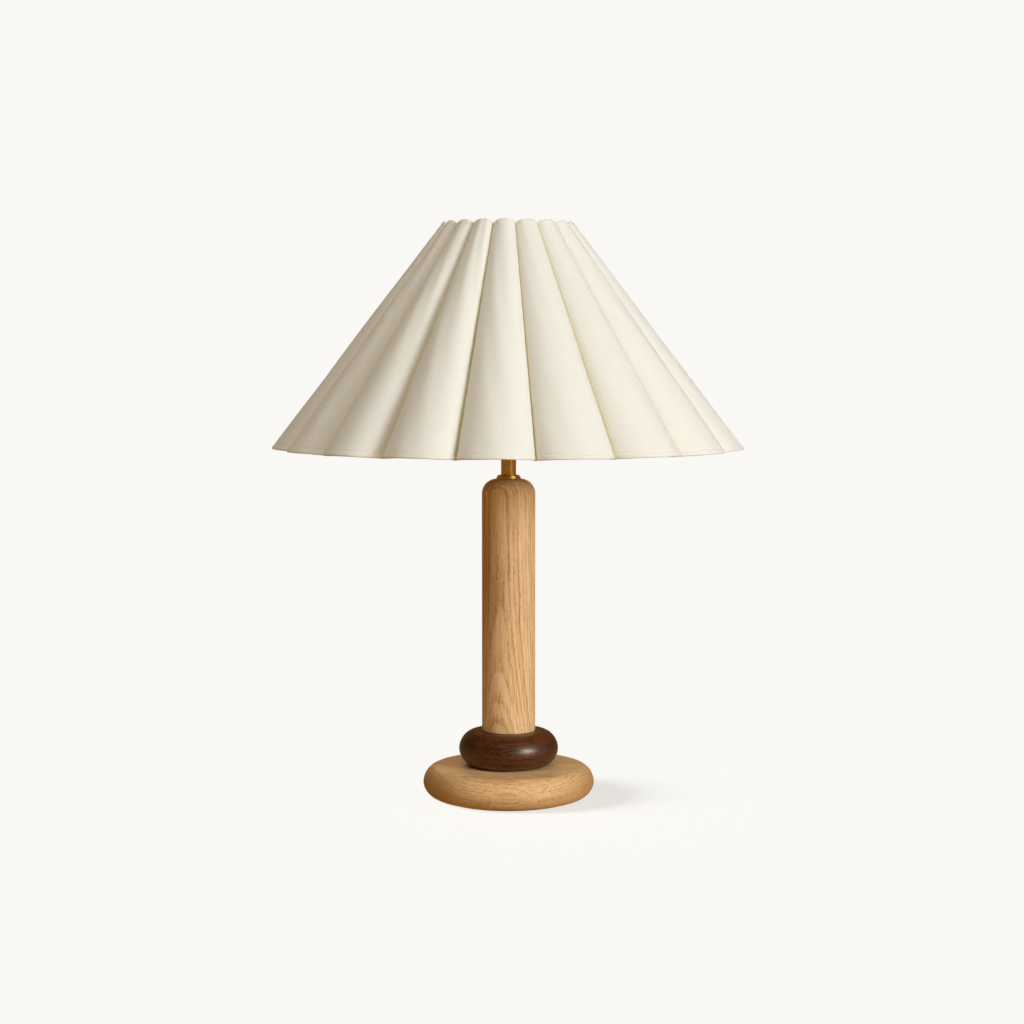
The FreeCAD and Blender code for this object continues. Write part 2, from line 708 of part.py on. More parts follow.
def make_shade_cover():
    """Broad flutes that meet in sharp folds, between a wavy hem and a scalloped top."""
    hem_outer, hem_inner = pleat_rim(HEM_VALLEY_RADIUS, HEM_CREST_RADIUS, hem_valley_level, HEM_CREST_LIFT)
    top_outer, top_inner = pleat_rim(TOP_VALLEY_RADIUS, TOP_CREST_RADIUS, top_valley_level, TOP_CREST_LIFT)
    faces = []
    for i in range(PLEATS):
        faces += strip(hem_outer[i], top_outer[i])
        faces += strip(hem_inner[i], top_inner[i])
        faces += strip(hem_outer[i], hem_inner[i])
        faces += strip(top_outer[i], top_inner[i])
        hem_ridge = [hem_inner[i - 1][-1], hem_inner[i][0]]
        top_ridge = [top_inner[i - 1][-1], top_inner[i][0]]
        faces += strip(hem_ridge, top_ridge)
        faces.append(triangle(hem_outer[i][0], *hem_ridge))
        faces.append(triangle(top_outer[i][0], *top_ridge))
    shell = Part.makeShell(faces)
    shell.sewShape()
    cover = Part.Solid(shell)
    if cover.Volume < 0:
        cover.reverse()
    return cover


NODES = {
    "felt_pad": make_felt_pad,
    "base_disc": make_base_disc,
    "base_weight": make_base_weight,
    "weight_screws": make_weight_screws,
    "cord_bush": make_cord_bush,
    "base_washer": make_base_washer,
    "lock_washer": make_lock_washer,
    "base_nut": make_base_nut,
    "threaded_tube": make_threaded_tube,
    "walnut_ring": make_walnut_ring,
    "column": make_column,
    "brass_collar": make_brass_collar,
    "neck_tube": make_neck_tube,
    "holder_cap": make_holder_cap,
    "cap_grub_screw": make_cap_grub_screw,
    "holder_skirt": make_holder_skirt,
    "holder_insert": make_holder_insert,
    "terminal_screws": make_terminal_screws,
    "screw_shell": make_screw_shell,
    "centre_contact": make_centre_contact,
    "switch_spindle": make_switch_spindle,
    "switch_cam": make_switch_cam,
    "switch_bush": make_switch_bush,
    "switch_knob": make_switch_knob,
    "bulb_contact": make_bulb_contact,
    "bulb_insulator": make_bulb_insulator,
    "bulb_cap": make_bulb_cap,
    "bulb_housing": make_bulb_housing,
    "bulb_dome": make_bulb_dome,
    "shade_ring_lower": make_shade_ring_lower,
    "shade_ring_upper": make_shade_ring_upper,
    "carrier_ring": make_carrier_ring,
    "carrier_arms": make_carrier_arms,
    "shade_top_ring": make_shade_top_ring,
    "shade_hem_ring": make_shade_hem_ring,
    "shade_cover": make_shade_cover,
}

os.makedirs("parts", exist_ok=True)
for name, make in NODES.items():
    shape = make()
    box = shape.BoundBox
    print(f"{name}: {len(shape.Solids)} solid, {shape.Volume / 1000:.2f} cm3, "
          f"z {box.ZMin:.2f} to {box.ZMax:.2f}, valid {shape.isValid()}")
    shape.exportStep(f"parts/{name}.step")
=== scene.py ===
# %% [markdown]
# # A table lamp with a pleated linen shade
#
# The lamp is a thick turned oak base, a fat walnut ring and a round oak column. A short brass tube on a stepped
# collar carries a wide shade of stiffened linen, folded into eighteen broad flutes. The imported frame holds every
# piece at its real size. This script gives each piece its finish, and makes again, as finer surfaces, the pieces
# whose curves, threads or cloth the eye judges.

# %% The frame and the tools
import math

import bmesh
import bpy
import numpy as np
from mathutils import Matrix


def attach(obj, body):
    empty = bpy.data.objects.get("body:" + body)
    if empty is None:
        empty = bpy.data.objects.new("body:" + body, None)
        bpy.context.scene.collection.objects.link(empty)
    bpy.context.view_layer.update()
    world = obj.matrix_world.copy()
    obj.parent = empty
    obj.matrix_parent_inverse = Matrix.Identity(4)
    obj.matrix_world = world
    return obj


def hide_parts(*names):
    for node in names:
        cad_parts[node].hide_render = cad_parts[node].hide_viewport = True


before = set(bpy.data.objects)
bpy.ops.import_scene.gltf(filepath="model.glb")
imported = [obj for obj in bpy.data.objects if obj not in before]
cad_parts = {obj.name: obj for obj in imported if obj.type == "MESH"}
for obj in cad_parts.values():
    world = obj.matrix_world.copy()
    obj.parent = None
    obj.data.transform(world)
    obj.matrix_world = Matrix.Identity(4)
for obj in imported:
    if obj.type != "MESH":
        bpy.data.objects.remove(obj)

MM = 0.001            # the frame is in metres, and the sizes below are in millimetres
TURN = 2.0 * np.pi
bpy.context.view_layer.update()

# %% [markdown]
# ## Sizes from the frame
#
# Each piece that is made again here has to sit where the frame's plainer one sits. Typing its sizes in a second time
# would invite mistakes, so bores, outer radii and levels are read from the frame's own meshes, to a hundredth of a
# millimetre. Only what can't be read that way, such as how round an edge is, gets a value of its own.

# %% Reading a mesh
def points_of(mesh):
    """All of a mesh's points at once, in metres, as rows of x, y and z."""
    numbers = np.empty(3 * len(mesh.vertices))
    mesh.vertices.foreach_get("co", numbers)
    return numbers.reshape(-1, 3)


def measured(node_name):
    """A node's least and greatest distance from the lamp's axis and its lowest and highest level, in millimetres."""
    point = points_of(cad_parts[node_name].data) / MM
    reach = np.hypot(point[:, 0], point[:, 1])
    return [round(float(size), 2) for size in (reach.min(), reach.max(), point[:, 2].min(), point[:, 2].max())]


print("the base measures", measured("base_disc"), "mm")

# %% [markdown]
# ## The camera
#
# The ellipses of the hem, the shade's rim and the ring tell where the photographer stood: 1.84 m in front, level
# with the upper half of the shade, and tipped down by 4.4 degrees. From so far a long lens is needed, and it keeps
# the column's sides almost parallel, as they are in the photograph.

# %% A camera where the photographer stood
FOCAL_LENGTH, FILM_WIDTH = 76.6, 36.0        # millimetres
STOOD_AT = (0.0029, -1.839, 0.3863)          # metres
TIPPED_DOWN = 4.41                           # degrees
lens = bpy.data.cameras.new("camera")
lens.lens = FOCAL_LENGTH
lens.sensor_width = FILM_WIDTH
camera = bpy.data.objects.new("camera", lens)
camera.location = STOOD_AT
camera.rotation_euler = (math.radians(90.0 - TIPPED_DOWN), 0.0, 0.0)
bpy.context.scene.collection.objects.link(camera)
bpy.context.scene.camera = camera
bpy.context.scene.view_settings.view_transform = "Standard"
print("camera at", tuple(camera.location))

# %% [markdown]
# ## Surfaces from numbers
#
# Almost every piece here is either turned on a lathe or bent from a strip, so its shape is a grid of points: one
# parameter runs along a profile and the other round the axis or along a path. A profile drawn as a curve and spun by
# a modifier would do for plain rings, but not for threads, ribs and pleats, whose radius depends on both parameters.
# So numpy works out the whole grid at once. The grid is then joined to itself at its seams, doubled points at poles
# are merged, and the faces are turned outwards.

# %% A mesh over a grid of points
SAME_POINT = 1e-7                            # metres: points nearer than this are one point


def surface(name, points, close_rows=True, close_columns=True, cloth_map=None, valley=None):
    """Joins a grid of points, rows by columns by 3 in millimetres, with one face for each cell.

    Closing the rows joins the last row to the first, and closing the columns the last column to the first. Cloth
    also takes a flat map, one place for each face's corner, and a number for each point: how deep in a valley it is.
    """
    rows, columns = points.shape[:2]
    row = np.arange(rows if close_rows else rows - 1)[:, None]
    column = np.arange(columns if close_columns else columns - 1)[None, :]
    below, above = row * columns, (row + 1) % rows * columns
    left, right = column, (column + 1) % columns
    corners = np.stack([below + left, below + right, above + right, above + left], axis=-1).reshape(-1, 4)
    mesh = bpy.data.meshes.new(name)
    mesh.from_pydata((points.reshape(-1, 3) * MM).tolist(), [], corners.tolist())
    if cloth_map is not None:
        layer = mesh.uv_layers.new(name="cloth")
        layer.data.foreach_set("uv", (cloth_map * MM).ravel())
    if valley is not None:
        mesh.attributes.new("valley", "FLOAT", "POINT").data.foreach_set("value", valley.ravel())
    return closed(mesh)


def closed(mesh):
    """Merges doubled points and turns every face outwards."""
    shape = bmesh.new()
    shape.from_mesh(mesh)
    bmesh.ops.remove_doubles(shape, verts=shape.verts, dist=SAME_POINT)
    bmesh.ops.recalc_face_normals(shape, faces=shape.faces)
    shape.to_mesh(mesh)
    shape.free()
    return mesh


# %% Turned pieces and their profiles
def turned(name, profile, turns=128, shift=0.0):
    """Carries a closed profile of (radius, level) points round the axis.

    x is the radius times the angle's cosine, y the radius times its sine, and z the level. The shift is added to
    the radius, and may differ at each point and angle, as on a thread or a ribbed rim.
    """
    profile = np.asarray(profile, float)
    angle = np.arange(turns) * TURN / turns
    radius = profile[:, :1] + shift * np.ones((1, turns))
    level = profile[:, 1:] * np.ones((1, turns))
    return surface(name, np.stack([radius * np.cos(angle), radius * np.sin(angle), level], axis=-1))


def eased(corners, reach, steps=4):
    """Rounds every corner of a closed profile.

    A curve leaves one side at the reach from the corner and meets the next side at the same reach:
    (1 - t) squared times the start, plus 2 t (1 - t) times the corner, plus t squared times the end.
    It takes up to 0.45 of a side, so that the curves at a side's two ends never meet.
    """
    corner = np.asarray(corners, float)
    before = np.roll(corner, 1, axis=0) - corner
    after = np.roll(corner, -1, axis=0) - corner
    to_before = np.linalg.norm(before, axis=1, keepdims=True)
    to_after = np.linalg.norm(after, axis=1, keepdims=True)
    cut = np.minimum(np.broadcast_to(np.asarray(reach, float).reshape(-1, 1), to_before.shape),
                     0.45 * np.minimum(to_before, to_after))
    start = corner + before / to_before * cut
    end = corner + after / to_after * cut
    t = np.linspace(0.0, 1.0, steps + 1)[None, :, None]
    bend = (1 - t) ** 2 * start[:, None] + 2 * t * (1 - t) * corner[:, None] + t ** 2 * end[:, None]
    return bend.reshape(-1, 2)


def plain_ring(inner, outer, bottom, top):
    """The four corners of a ring's section, from the inner foot by the outside to the inner top."""
    return [(inner, bottom), (outer, bottom), (outer, top), (inner, top)]


def quarter(centre, reach, rise, fullness=2.0, steps=20):
    """A quarter of a superellipse, from beside its centre to above it.

    The reach is multiplied by the cosine, and the rise by the sine, to the power of 2 over the fullness. A fullness
    of 2 gives an ellipse.
    """
    angle = np.linspace(0.0, np.pi / 2, steps + 1)
    return np.stack([
        centre[0] + reach * np.clip(np.cos(angle), 0, 1) ** (2 / fullness),
        centre[1] + rise * np.sin(angle) ** (2 / fullness),
    ], axis=-1)


# %% One way to put a piece on the lamp
def place(mesh, finish, body, slot, *stands_for, sharp_deg=35.0):
    """Adds a mesh as a piece that rides on a body, in place of the frame's plainer nodes."""
    piece = bpy.data.objects.new(mesh.name, mesh)
    bpy.context.scene.collection.objects.link(piece)
    mesh.materials.clear()
    mesh.materials.append(finish)
    mesh.shade_smooth()
    mesh.set_sharp_from_angle(angle=math.radians(sharp_deg))
    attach(piece, body)
    if stands_for:
        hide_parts(*stands_for)
    point = points_of(mesh) / MM
    print(f"{mesh.name}: {len(mesh.polygons)} faces, {np.round(point.min(0), 1)} to {np.round(point.max(0), 1)} mm")
    return piece


# %% [markdown]
# ## Writing finishes as sums
#
# A finish is a tree of nodes. It could be wired by hand in the shader editor, but a tree is hard to read and to
# change. So one small class wraps a node's output and lets ordinary arithmetic add the Math nodes: `mask * 0.4 + 1`
# makes two nodes and links them. Every other kind of node comes from one method, which takes the kind, its settings
# and what goes into its sockets.

# %% Readings and finishes
class Reading:
    """The value at one output of a finish's nodes."""

    def __init__(self, finish, socket):
        self.finish = finish
        self.socket = socket

    def math(self, operation, *others):
        """One Math node, fed with this reading first."""
        return self.finish.node("ShaderNodeMath", {"operation": operation}, dict(enumerate([self, *others])))

    def other(self, output):
        """Another output of the same node."""
        return Reading(self.finish, self.socket.node.outputs[output])

    def __add__(self, value):
        return self.math("ADD", value)

    def __sub__(self, value):
        return self.math("SUBTRACT", value)

    def __rsub__(self, value):
        return self.math("MULTIPLY", -1.0).math("ADD", value)

    def __mul__(self, value):
        return self.math("MULTIPLY", value)

    __radd__ = __add__
    __rmul__ = __mul__

    def __truediv__(self, value):
        return self.math("DIVIDE", value)

    def sin(self):
        return self.math("SINE")

    def within(self, low, high, start=0.0, end=1.0):
        """Runs smoothly from start to end while the value goes from low to high."""
        return self.finish.node("ShaderNodeMapRange", {"interpolation_type": "SMOOTHSTEP"},
                                {"Value": self, "From Min": low, "From Max": high, "To Min": start, "To Max": end})


class Finish:
    """A material under way, with the shader's unchanging values set on its own sockets."""

    def __init__(self, name, **constants):
        self.material = bpy.data.materials.new(name)
        self.material.use_nodes = True
        self.shader = self.material.node_tree.nodes["Principled BSDF"]
        for socket, value in constants.items():
            self.shader.inputs[socket.replace("_", " ")].default_value = value

    def node(self, kind, settings=None, sockets=None, output=0):
        """Adds a node, sets it, feeds its sockets with numbers or readings, and reads one output."""
        node = self.material.node_tree.nodes.new(kind)
        for name, value in (settings or {}).items():
            if name == "stops":
                self.set_stops(node.color_ramp, value)
            else:
                setattr(node, name, value)
        for socket, value in (sockets or {}).items():
            self.feed(node.inputs[socket], value)
        return Reading(self, node.outputs[output])

    def set_stops(self, ramp, stops):
        """Gives a colour ramp its stops, each a position and a colour."""
        while len(ramp.elements) < len(stops):
            ramp.elements.new(0.5)
        for element, (position, colour) in zip(ramp.elements, stops):
            element.position = position
            element.color = (*colour, 1.0)

    def feed(self, socket, value):
        """Links a reading to a socket, or sets the socket to a number."""
        if isinstance(value, Reading):
            self.material.node_tree.links.new(value.socket, socket)
        else:
            socket.default_value = value

    def millimetres(self, turn_deg=(0, 0, 0), centre_mm=(0, 0, 0), squeeze=(1, 1, 1)):
        """The point's place in millimetres from a pattern's centre, along the pattern's own turned axes.

        A squeeze below 1 along an axis draws the pattern out along it.
        """
        return self.node("ShaderNodeMapping", {"vector_type": "TEXTURE"}, {
            "Vector": self.node("ShaderNodeTexCoord", output="Object"),
            "Location": tuple(MM * c for c in centre_mm),
            "Rotation": tuple(math.radians(a) for a in turn_deg),
            "Scale": tuple(MM / s for s in squeeze),
        })

    def noise(self, place, size_mm, detail=2.0, roughness=0.5, distortion=0.0):
        """Soft random values about 0.5, whose blobs are about the size across."""
        return self.node("ShaderNodeTexNoise", {}, {
            "Vector": place, "Scale": 1.0 / size_mm, "Detail": detail, "Roughness": roughness,
            "Distortion": distortion,
        })

    def blend(self, share, first, second):
        """Mixes two colours by a share. A Mix node takes the share at 0 and the colours at 6 and 7."""
        first, second = [c if isinstance(c, Reading) else (*c, 1.0) for c in (first, second)]
        return self.node("ShaderNodeMix", {"data_type": "RGBA"}, {0: share, 6: first, 7: second}, output=2)

    def relief(self, height, depth_mm):
        """Bumps the surface by a height from 0 to 1, at the depth it really has."""
        bump = self.node("ShaderNodeBump", {}, {"Height": height, "Distance": depth_mm * MM, "Strength": 1.0})
        self.feed(self.shader.inputs["Normal"], bump)

    def set(self, **sockets):
        """Feeds the shader's own sockets and hands the material over."""
        for socket, value in sockets.items():
            if not isinstance(value, Reading) and isinstance(value, tuple) and len(value) == 3:
                value = (*value, 1.0)
            self.feed(self.shader.inputs[socket.replace("_", " ")], value)
        return self.material


# %% [markdown]
# ## The studio
#
# The photograph has a plain warm-white ground with no horizon, a broad soft light from the right and front, and a
# faint shadow to the right of the base. A flat plane would end in a horizon, and a curved sheet behind the lamp would
# hide it from the back. A round ground whose rim curves up into a wall does neither. Both glow by themselves, so that
# they keep one tone, and they are hidden from bounced light, since so much white close by would wash out the lamp's
# darker side. The ground also takes light, or it could show no shadow: so what it gets from the room and from the far
# light is taken off its glow.

# %% Ground and wall
PALE = np.array([0.953, 0.941, 0.907])             # the ground's tone in the photograph
ROOM_ABOVE = np.array([0.13, 0.085, 0.04])         # what the room gives from above, and from below
ROOM_BELOW = np.array([0.43, 0.26, 0.105])
FAR_LIGHT = 4.9                                    # watts for each square metre
FAR_PLACE = np.array([-2.0, -0.53, 0.92])          # the way to the far light, seen from the lamp's foot
GROUND_TAKES = 0.30                                # the share of the light on it that the ground gives back
GROUND_RADIUS, BEND_RADIUS, WALL_TOP = 2000.0, 600.0, 2600.0


def round_card(name, profile, takes, glow, turns=96):
    """Carries an open profile of (radius, level) points round the axis, as white card that glows."""
    profile = np.asarray(profile, float)
    angle = np.arange(turns) * TURN / turns
    radius, level = profile[:, :1], profile[:, 1:] * np.ones((1, turns))
    mesh = surface(name, np.stack([radius * np.cos(angle), radius * np.sin(angle), level], axis=-1), close_rows=False)
    card = Finish(name, Roughness=1.0, Specular_IOR_Level=0.0, Emission_Strength=1.0)
    mesh.materials.append(card.set(Base_Color=(takes, takes, takes), Emission_Color=tuple(float(g) for g in glow)))
    mesh.shade_smooth()
    part = bpy.data.objects.new(name, mesh)
    bpy.context.scene.collection.objects.link(part)
    part.visible_diffuse = part.visible_glossy = part.visible_shadow = False
    return part


far_share = FAR_LIGHT / np.pi * FAR_PLACE[2] / np.linalg.norm(FAR_PLACE)
ground_glow = PALE - GROUND_TAKES * (ROOM_ABOVE + far_share)
ground = round_card("ground", [[0.0, 0.0], [GROUND_RADIUS, 0.0]], GROUND_TAKES, ground_glow)
bend = quarter((GROUND_RADIUS, BEND_RADIUS), BEND_RADIUS, -BEND_RADIUS, steps=24)[::-1]
round_card("wall", np.vstack([bend, [GROUND_RADIUS + BEND_RADIUS, WALL_TOP]]), 0.0, PALE)
print("the ground glows", np.round(ground_glow, 3), "and the wall", PALE)

# %% [markdown]
# A panel at the right, a wide one overhead, a weak one near the table and a warm room light the lamp and model its
# flutes, and one more lights the back, which the photograph doesn't show. More of the room's light comes from below
# than from above, as it does where white card lies about. The panels leave the ground alone, so that it keeps one
# tone. Only the panel at the right shows in polished pieces, which have a single highlight in the photograph. A wide,
# far light from the left lights only the ground, and only the base stands in its way: the faint shadow at the right
# is the place where that light is missing. In a real room these lights couldn't be kept apart, but light linking can.

# %% Soft light
def aimed(name, light, place, aim, lights_ground):
    """Sets a light up to face a point, out of the camera's sight. It lights the ground alone or all but the ground.

    A light shines along its own -Z. It is tipped by the angle between the way back from the aim and straight up,
    and turned to the side on which it stands.
    """
    stand = bpy.data.objects.new(name, light)
    stand.location = place
    back = np.array(place) - np.array(aim)
    stand.rotation_euler = (math.atan2(math.hypot(back[0], back[1]), back[2]), 0.0,
                            math.atan2(back[1], back[0]) + math.pi / 2)
    bpy.context.scene.collection.objects.link(stand)
    lit = bpy.data.collections.new(name + "_and_ground")
    lit.objects.link(ground)
    lit.collection_objects[0].light_linking.link_state = "INCLUDE" if lights_ground else "EXCLUDE"
    stand.light_linking.receiver_collection = lit
    stand.visible_camera = False
    return stand


def softbox(name, place, aim_level, width, watts, colour):
    """A square light panel that faces a level on the lamp's axis. Places and sizes are in metres."""
    panel = bpy.data.lights.new(name, "AREA")
    panel.shape = "SQUARE"
    panel.size = width
    panel.energy = watts
    panel.color = colour
    return aimed(name, panel, place, (0.0, 0.0, aim_level), lights_ground=False)


softbox("key", (1.83, -1.70, 0.85), aim_level=0.3, width=0.9, watts=60.0, colour=(0.81, 0.90, 1.0))
overhead = softbox("overhead", (-0.3, -1.4, 2.0), aim_level=0.4, width=1.4, watts=29.0, colour=(1.0, 1.0, 0.98))
low_card = softbox("low_card", (0.5, -0.8, 0.03), aim_level=0.05, width=0.5, watts=1.3, colour=(1.0, 0.86, 0.66))
rear = softbox("rear", (-0.2, 2.1, 1.0), aim_level=0.3, width=1.2, watts=26.0, colour=(1.0, 0.93, 0.82))
overhead.visible_glossy = low_card.visible_glossy = rear.visible_glossy = False
far_light = bpy.data.lights.new("far_left", "SUN")
far_light.angle = math.radians(26.0)               # how wide it looks from the lamp, which softens the shadow
far_light.energy = FAR_LIGHT
far_left = aimed("far_left", far_light, tuple(FAR_PLACE), (0.0, 0.0, 0.0), lights_ground=True)


# %% The room's own light
HORIZON = 0.4                                      # the share of the sky over which below fades into above


def room(from_below, from_above):
    """A world whose colour runs from one to the other with the height of the direction it comes from."""
    world = bpy.data.worlds.new("studio")
    world.use_nodes = True
    nodes, links = world.node_tree.nodes, world.node_tree.links
    way = nodes.new("ShaderNodeSeparateXYZ")
    links.new(nodes.new("ShaderNodeTexCoord").outputs["Generated"], way.inputs[0])
    share = nodes.new("ShaderNodeMapRange")
    share.inputs["From Min"].default_value = -HORIZON
    share.inputs["From Max"].default_value = HORIZON
    links.new(way.outputs[2], share.inputs["Value"])
    colour = nodes.new("ShaderNodeMix")
    colour.data_type = "RGBA"
    links.new(share.outputs[0], colour.inputs[0])
    colour.inputs[6].default_value = (*from_below, 1.0)
    colour.inputs[7].default_value = (*from_above, 1.0)
    links.new(colour.outputs[2], nodes["Background"].inputs["Color"])
    return world


bpy.context.scene.world = room(ROOM_BELOW, ROOM_ABOVE)
print("room light from below", ROOM_BELOW, "and from above", ROOM_ABOVE)

# %% [markdown]
# ## Oak and walnut
#
# The base and the column are oiled oak, and the ring is walnut. Noise drawn out along the grain gives streaks, but
# never arches. Wood grows in rings about the tree's heart, so its figure is worked out as rings and cut by the turned
# surface, like the real one. Each ring starts with a band of open pores, which oil darkens. The rings are bent a
# little by slow noise, and they spread towards the foot of the trunk, so that the lower half of the column shows long
# arches. Fine fibres and short dark pores run along the grain, and ends of boards drink more oil and are darker.

# %% Wood
FLARE_HEIGHT = 60.0                                # millimetres over which the spread of the rings dies away


def wood(name, turn_deg, heart_mm, flare_mm, ring_mm, figure, tones, roughness, gloss, end_dark=0.0):
    """Rings about a heart line that runs along the pattern's Z, with fibres and pores along it.

    The ring number is the distance from the heart, minus the flare times e to the power of minus the height over
    the flare's height, plus slow noise, all over the ring's width. The figure says how strongly the rings show.
    """
    finish = Finish(name, Specular_IOR_Level=gloss, Specular_Tint=(1.0, 0.86, 0.72, 1.0))

    def along_grain(size_mm, squeeze, detail=2.0, roughness=0.5):
        """Noise that is drawn out along the grain."""
        return finish.noise(finish.millimetres(turn_deg, heart_mm, (1, 1, squeeze)), size_mm, detail, roughness)

    x = finish.node("ShaderNodeSeparateXYZ", {}, {0: finish.millimetres(turn_deg, heart_mm)})
    y, z = x.other(1), x.other(2)
    flare = (z / -FLARE_HEIGHT).math("EXPONENT") * flare_mm
    # the rings wander slowly by up to 3 mm and quickly by up to 0.75 mm
    sway = (along_grain(30.0, 0.18) - 0.5) * 6.0 + (along_grain(3.5, 0.06) - 0.5) * 1.5
    distance = (x * x + y * y).math("SQRT") - flare + sway
    ring = (distance / ring_mm).math("FRACT")
    early = ring.within(0.0, 0.55, 1.0, 0.0) + ring.within(0.92, 1.0)      # spring wood, where the pores are
    band = finish.node("ShaderNodeTexNoise", {"noise_dimensions": "1D"},
                       {"W": distance / 6.0, "Scale": 1.0, "Detail": 2.0})  # good years and bad ones
    fibre = along_grain(1.0, 0.035, 4.0, 0.75)
    cloud = along_grain(14.0, 0.5, 2.0)
    fleck = along_grain(0.6, 0.14, 2.0)
    pore = fleck.within(0.55, 0.64) * (early * 0.6 + 0.4)
    tone = (0.30 + ((early - 0.4) * 0.36 + (band - 0.5)) * figure
            + (fibre - 0.5) * 2.6 + (cloud - 0.5) * (1.0 - figure))
    ramp = {"stops": [(0.0, tones["pale"]), (0.45, tones["middle"]), (1.0, tones["dark"])]}
    colour = finish.blend(pore * 0.55, finish.node("ShaderNodeValToRGB", ramp, {0: tone}), tones["pore"])
    if end_dark:
        way = finish.node("ShaderNodeSeparateXYZ", {}, {0: finish.node("ShaderNodeNewGeometry", output="Normal")})
        colour = finish.blend(way.math("ABSOLUTE").within(0.45, 1.0, 0.0, end_dark), colour, tones["dark"])
    finish.relief(fibre * 0.3 - pore, 0.05)
    return finish.set(Base_Color=colour, Roughness=roughness + (fibre - 0.5) * 0.2 + pore * 0.1)


# %% The lamp's three boards
OAK = {"pale": (0.76, 0.50, 0.27), "middle": (0.62, 0.37, 0.165), "dark": (0.36, 0.175, 0.055),
       "pore": (0.20, 0.085, 0.022)}
OILED_OAK = {"pale": (0.66, 0.42, 0.205), "middle": (0.53, 0.305, 0.125), "dark": (0.31, 0.145, 0.042),
             "pore": (0.17, 0.07, 0.017)}
WALNUT = {"pale": (0.12, 0.033, 0.008), "middle": (0.033, 0.008, 0.002), "dark": (0.008, 0.002, 0.001),
          "pore": (0.004, 0.001, 0.001)}
oak_upright = wood("oak_upright", (0, 0, 0), (-24.0, -56.0, 50.0), flare_mm=15.0, ring_mm=3.1, figure=1.0,
                   tones=OAK, roughness=0.58, gloss=0.12)
oak_lying = wood("oak_lying", (0, 90, 0), (-300.0, 10.0, -400.0), flare_mm=0.0, ring_mm=2.4, figure=0.45,
                 tones=OILED_OAK, roughness=0.58, gloss=0.12, end_dark=0.55)
walnut_lying = wood("walnut_lying", (0, 90, 6), (-200.0, -30.0, -260.0), flare_mm=0.0, ring_mm=5.0, figure=0.3,
                    tones=WALNUT, roughness=0.35, gloss=0.62, end_dark=0.3)
print("woods:", oak_upright.name, oak_lying.name, walnut_lying.name)

# %% [markdown]
# ## The turned wood
#
# Base, ring and column are turned on a lathe, and a profile carried round the axis is the same thing in numbers. The
# base and the ring have full round edges. A circle's arc would look mechanical and too narrow on so thick a disc, so
# each edge is two quarters of a superellipse: the same formula as an ellipse, with a power that sets how full it is.
# The base is hollow below for its ballast, and a round seat at the rear takes the cord's bush.

# %% Base, ring and column
ROUNDNESS = 1.85                                   # 2 would make the edges true ellipses
RECESS_RADIUS = 50.0                               # the hollow under the base
SHOULDER = 12.6                                    # the radius of the column's rounded top
CHAMFER = 0.5                                      # a fine edge at the column's foot


def round_edge(node_name, widest, foot, crown):
    """The outer profile of a round-edged disc, from its foot through its widest level to its crown.

    The foot and the crown say how far in from the widest point the roundings reach.
    """
    _, radius, bottom, top = measured(node_name)
    lower = quarter((radius - foot, widest), foot, bottom - widest, ROUNDNESS)
    upper = quarter((radius - crown, widest), crown, top - widest, ROUNDNESS)
    return np.vstack([lower[:0:-1], upper])


bore, _, bottom, top = measured("base_disc")
ceiling = measured("base_weight")[3]               # the ballast lies against the hollow's ceiling
recess = eased([(bore, top), (bore, ceiling), (RECESS_RADIUS, ceiling), (RECESS_RADIUS, bottom)],
               (0.2, 0.4, 1.5, 0.6))
base_profile = np.vstack([recess, round_edge("base_disc", widest=14.3, foot=12.5, crown=11.0)])
base_mesh = turned("oak_base", base_profile, 192)

bore, _, bottom, top = measured("walnut_ring")
ring_profile = np.vstack([[bore, top], [bore, bottom], round_edge("walnut_ring", widest=43.0, foot=13.0, crown=13.0)])
ring_mesh = turned("dark_ring", ring_profile, 160)

bore, radius, bottom, top = measured("column")
shoulder = quarter((radius - SHOULDER, top - SHOULDER), SHOULDER, SHOULDER)
column_mesh = turned("oak_column", np.vstack([[bore, top], [bore, bottom], [radius - CHAMFER, bottom],
                                              [radius, bottom + CHAMFER], shoulder]), 128)

# %% The seat for the cord's bush
INLET_LEVEL = 11.5                                 # the level of the inlet's axis, which runs to the rear
BUSH_START, BUSH_SEAT, BUSH_END = 52.0, 66.0, 67.6   # distances from the lamp's axis
BUSH_BORE, BUSH_RADIUS, FLANGE_RADIUS = 3.5, 5.0, 6.5
BUSH_GAP, FLANGE_GAP = 0.05, 0.3                   # how far the base's hole stands clear of the bush and flange
CUT_FROM, CUT_TO = 45.0, 80.0                      # in the base's hollow, and outside the base


def lengthways(name, profile, turns=48):
    """A turned shape whose axis runs to the rear through the cord inlet: its level becomes the way to the rear."""
    mesh = turned(name, profile, turns)
    x, y, z = points_of(mesh).T
    mesh.vertices.foreach_set("co", np.stack([x, z, INLET_LEVEL * MM - y], axis=-1).ravel())
    return closed(mesh)


def bored(mesh, cutter_mesh):
    """Cuts one closed mesh out of another."""
    block = bpy.data.objects.new("block", mesh)
    cutter = bpy.data.objects.new("cutter", cutter_mesh)
    for thing in (block, cutter):
        bpy.context.scene.collection.objects.link(thing)
    cut = block.modifiers.new("inlet", "BOOLEAN")
    cut.operation = "DIFFERENCE"
    cut.object = cutter
    result = bpy.data.meshes.new_from_object(block.evaluated_get(bpy.context.evaluated_depsgraph_get()))
    bpy.data.objects.remove(block)
    bpy.data.objects.remove(cutter)
    result.name = mesh.name + "_bored"
    return closed(result)


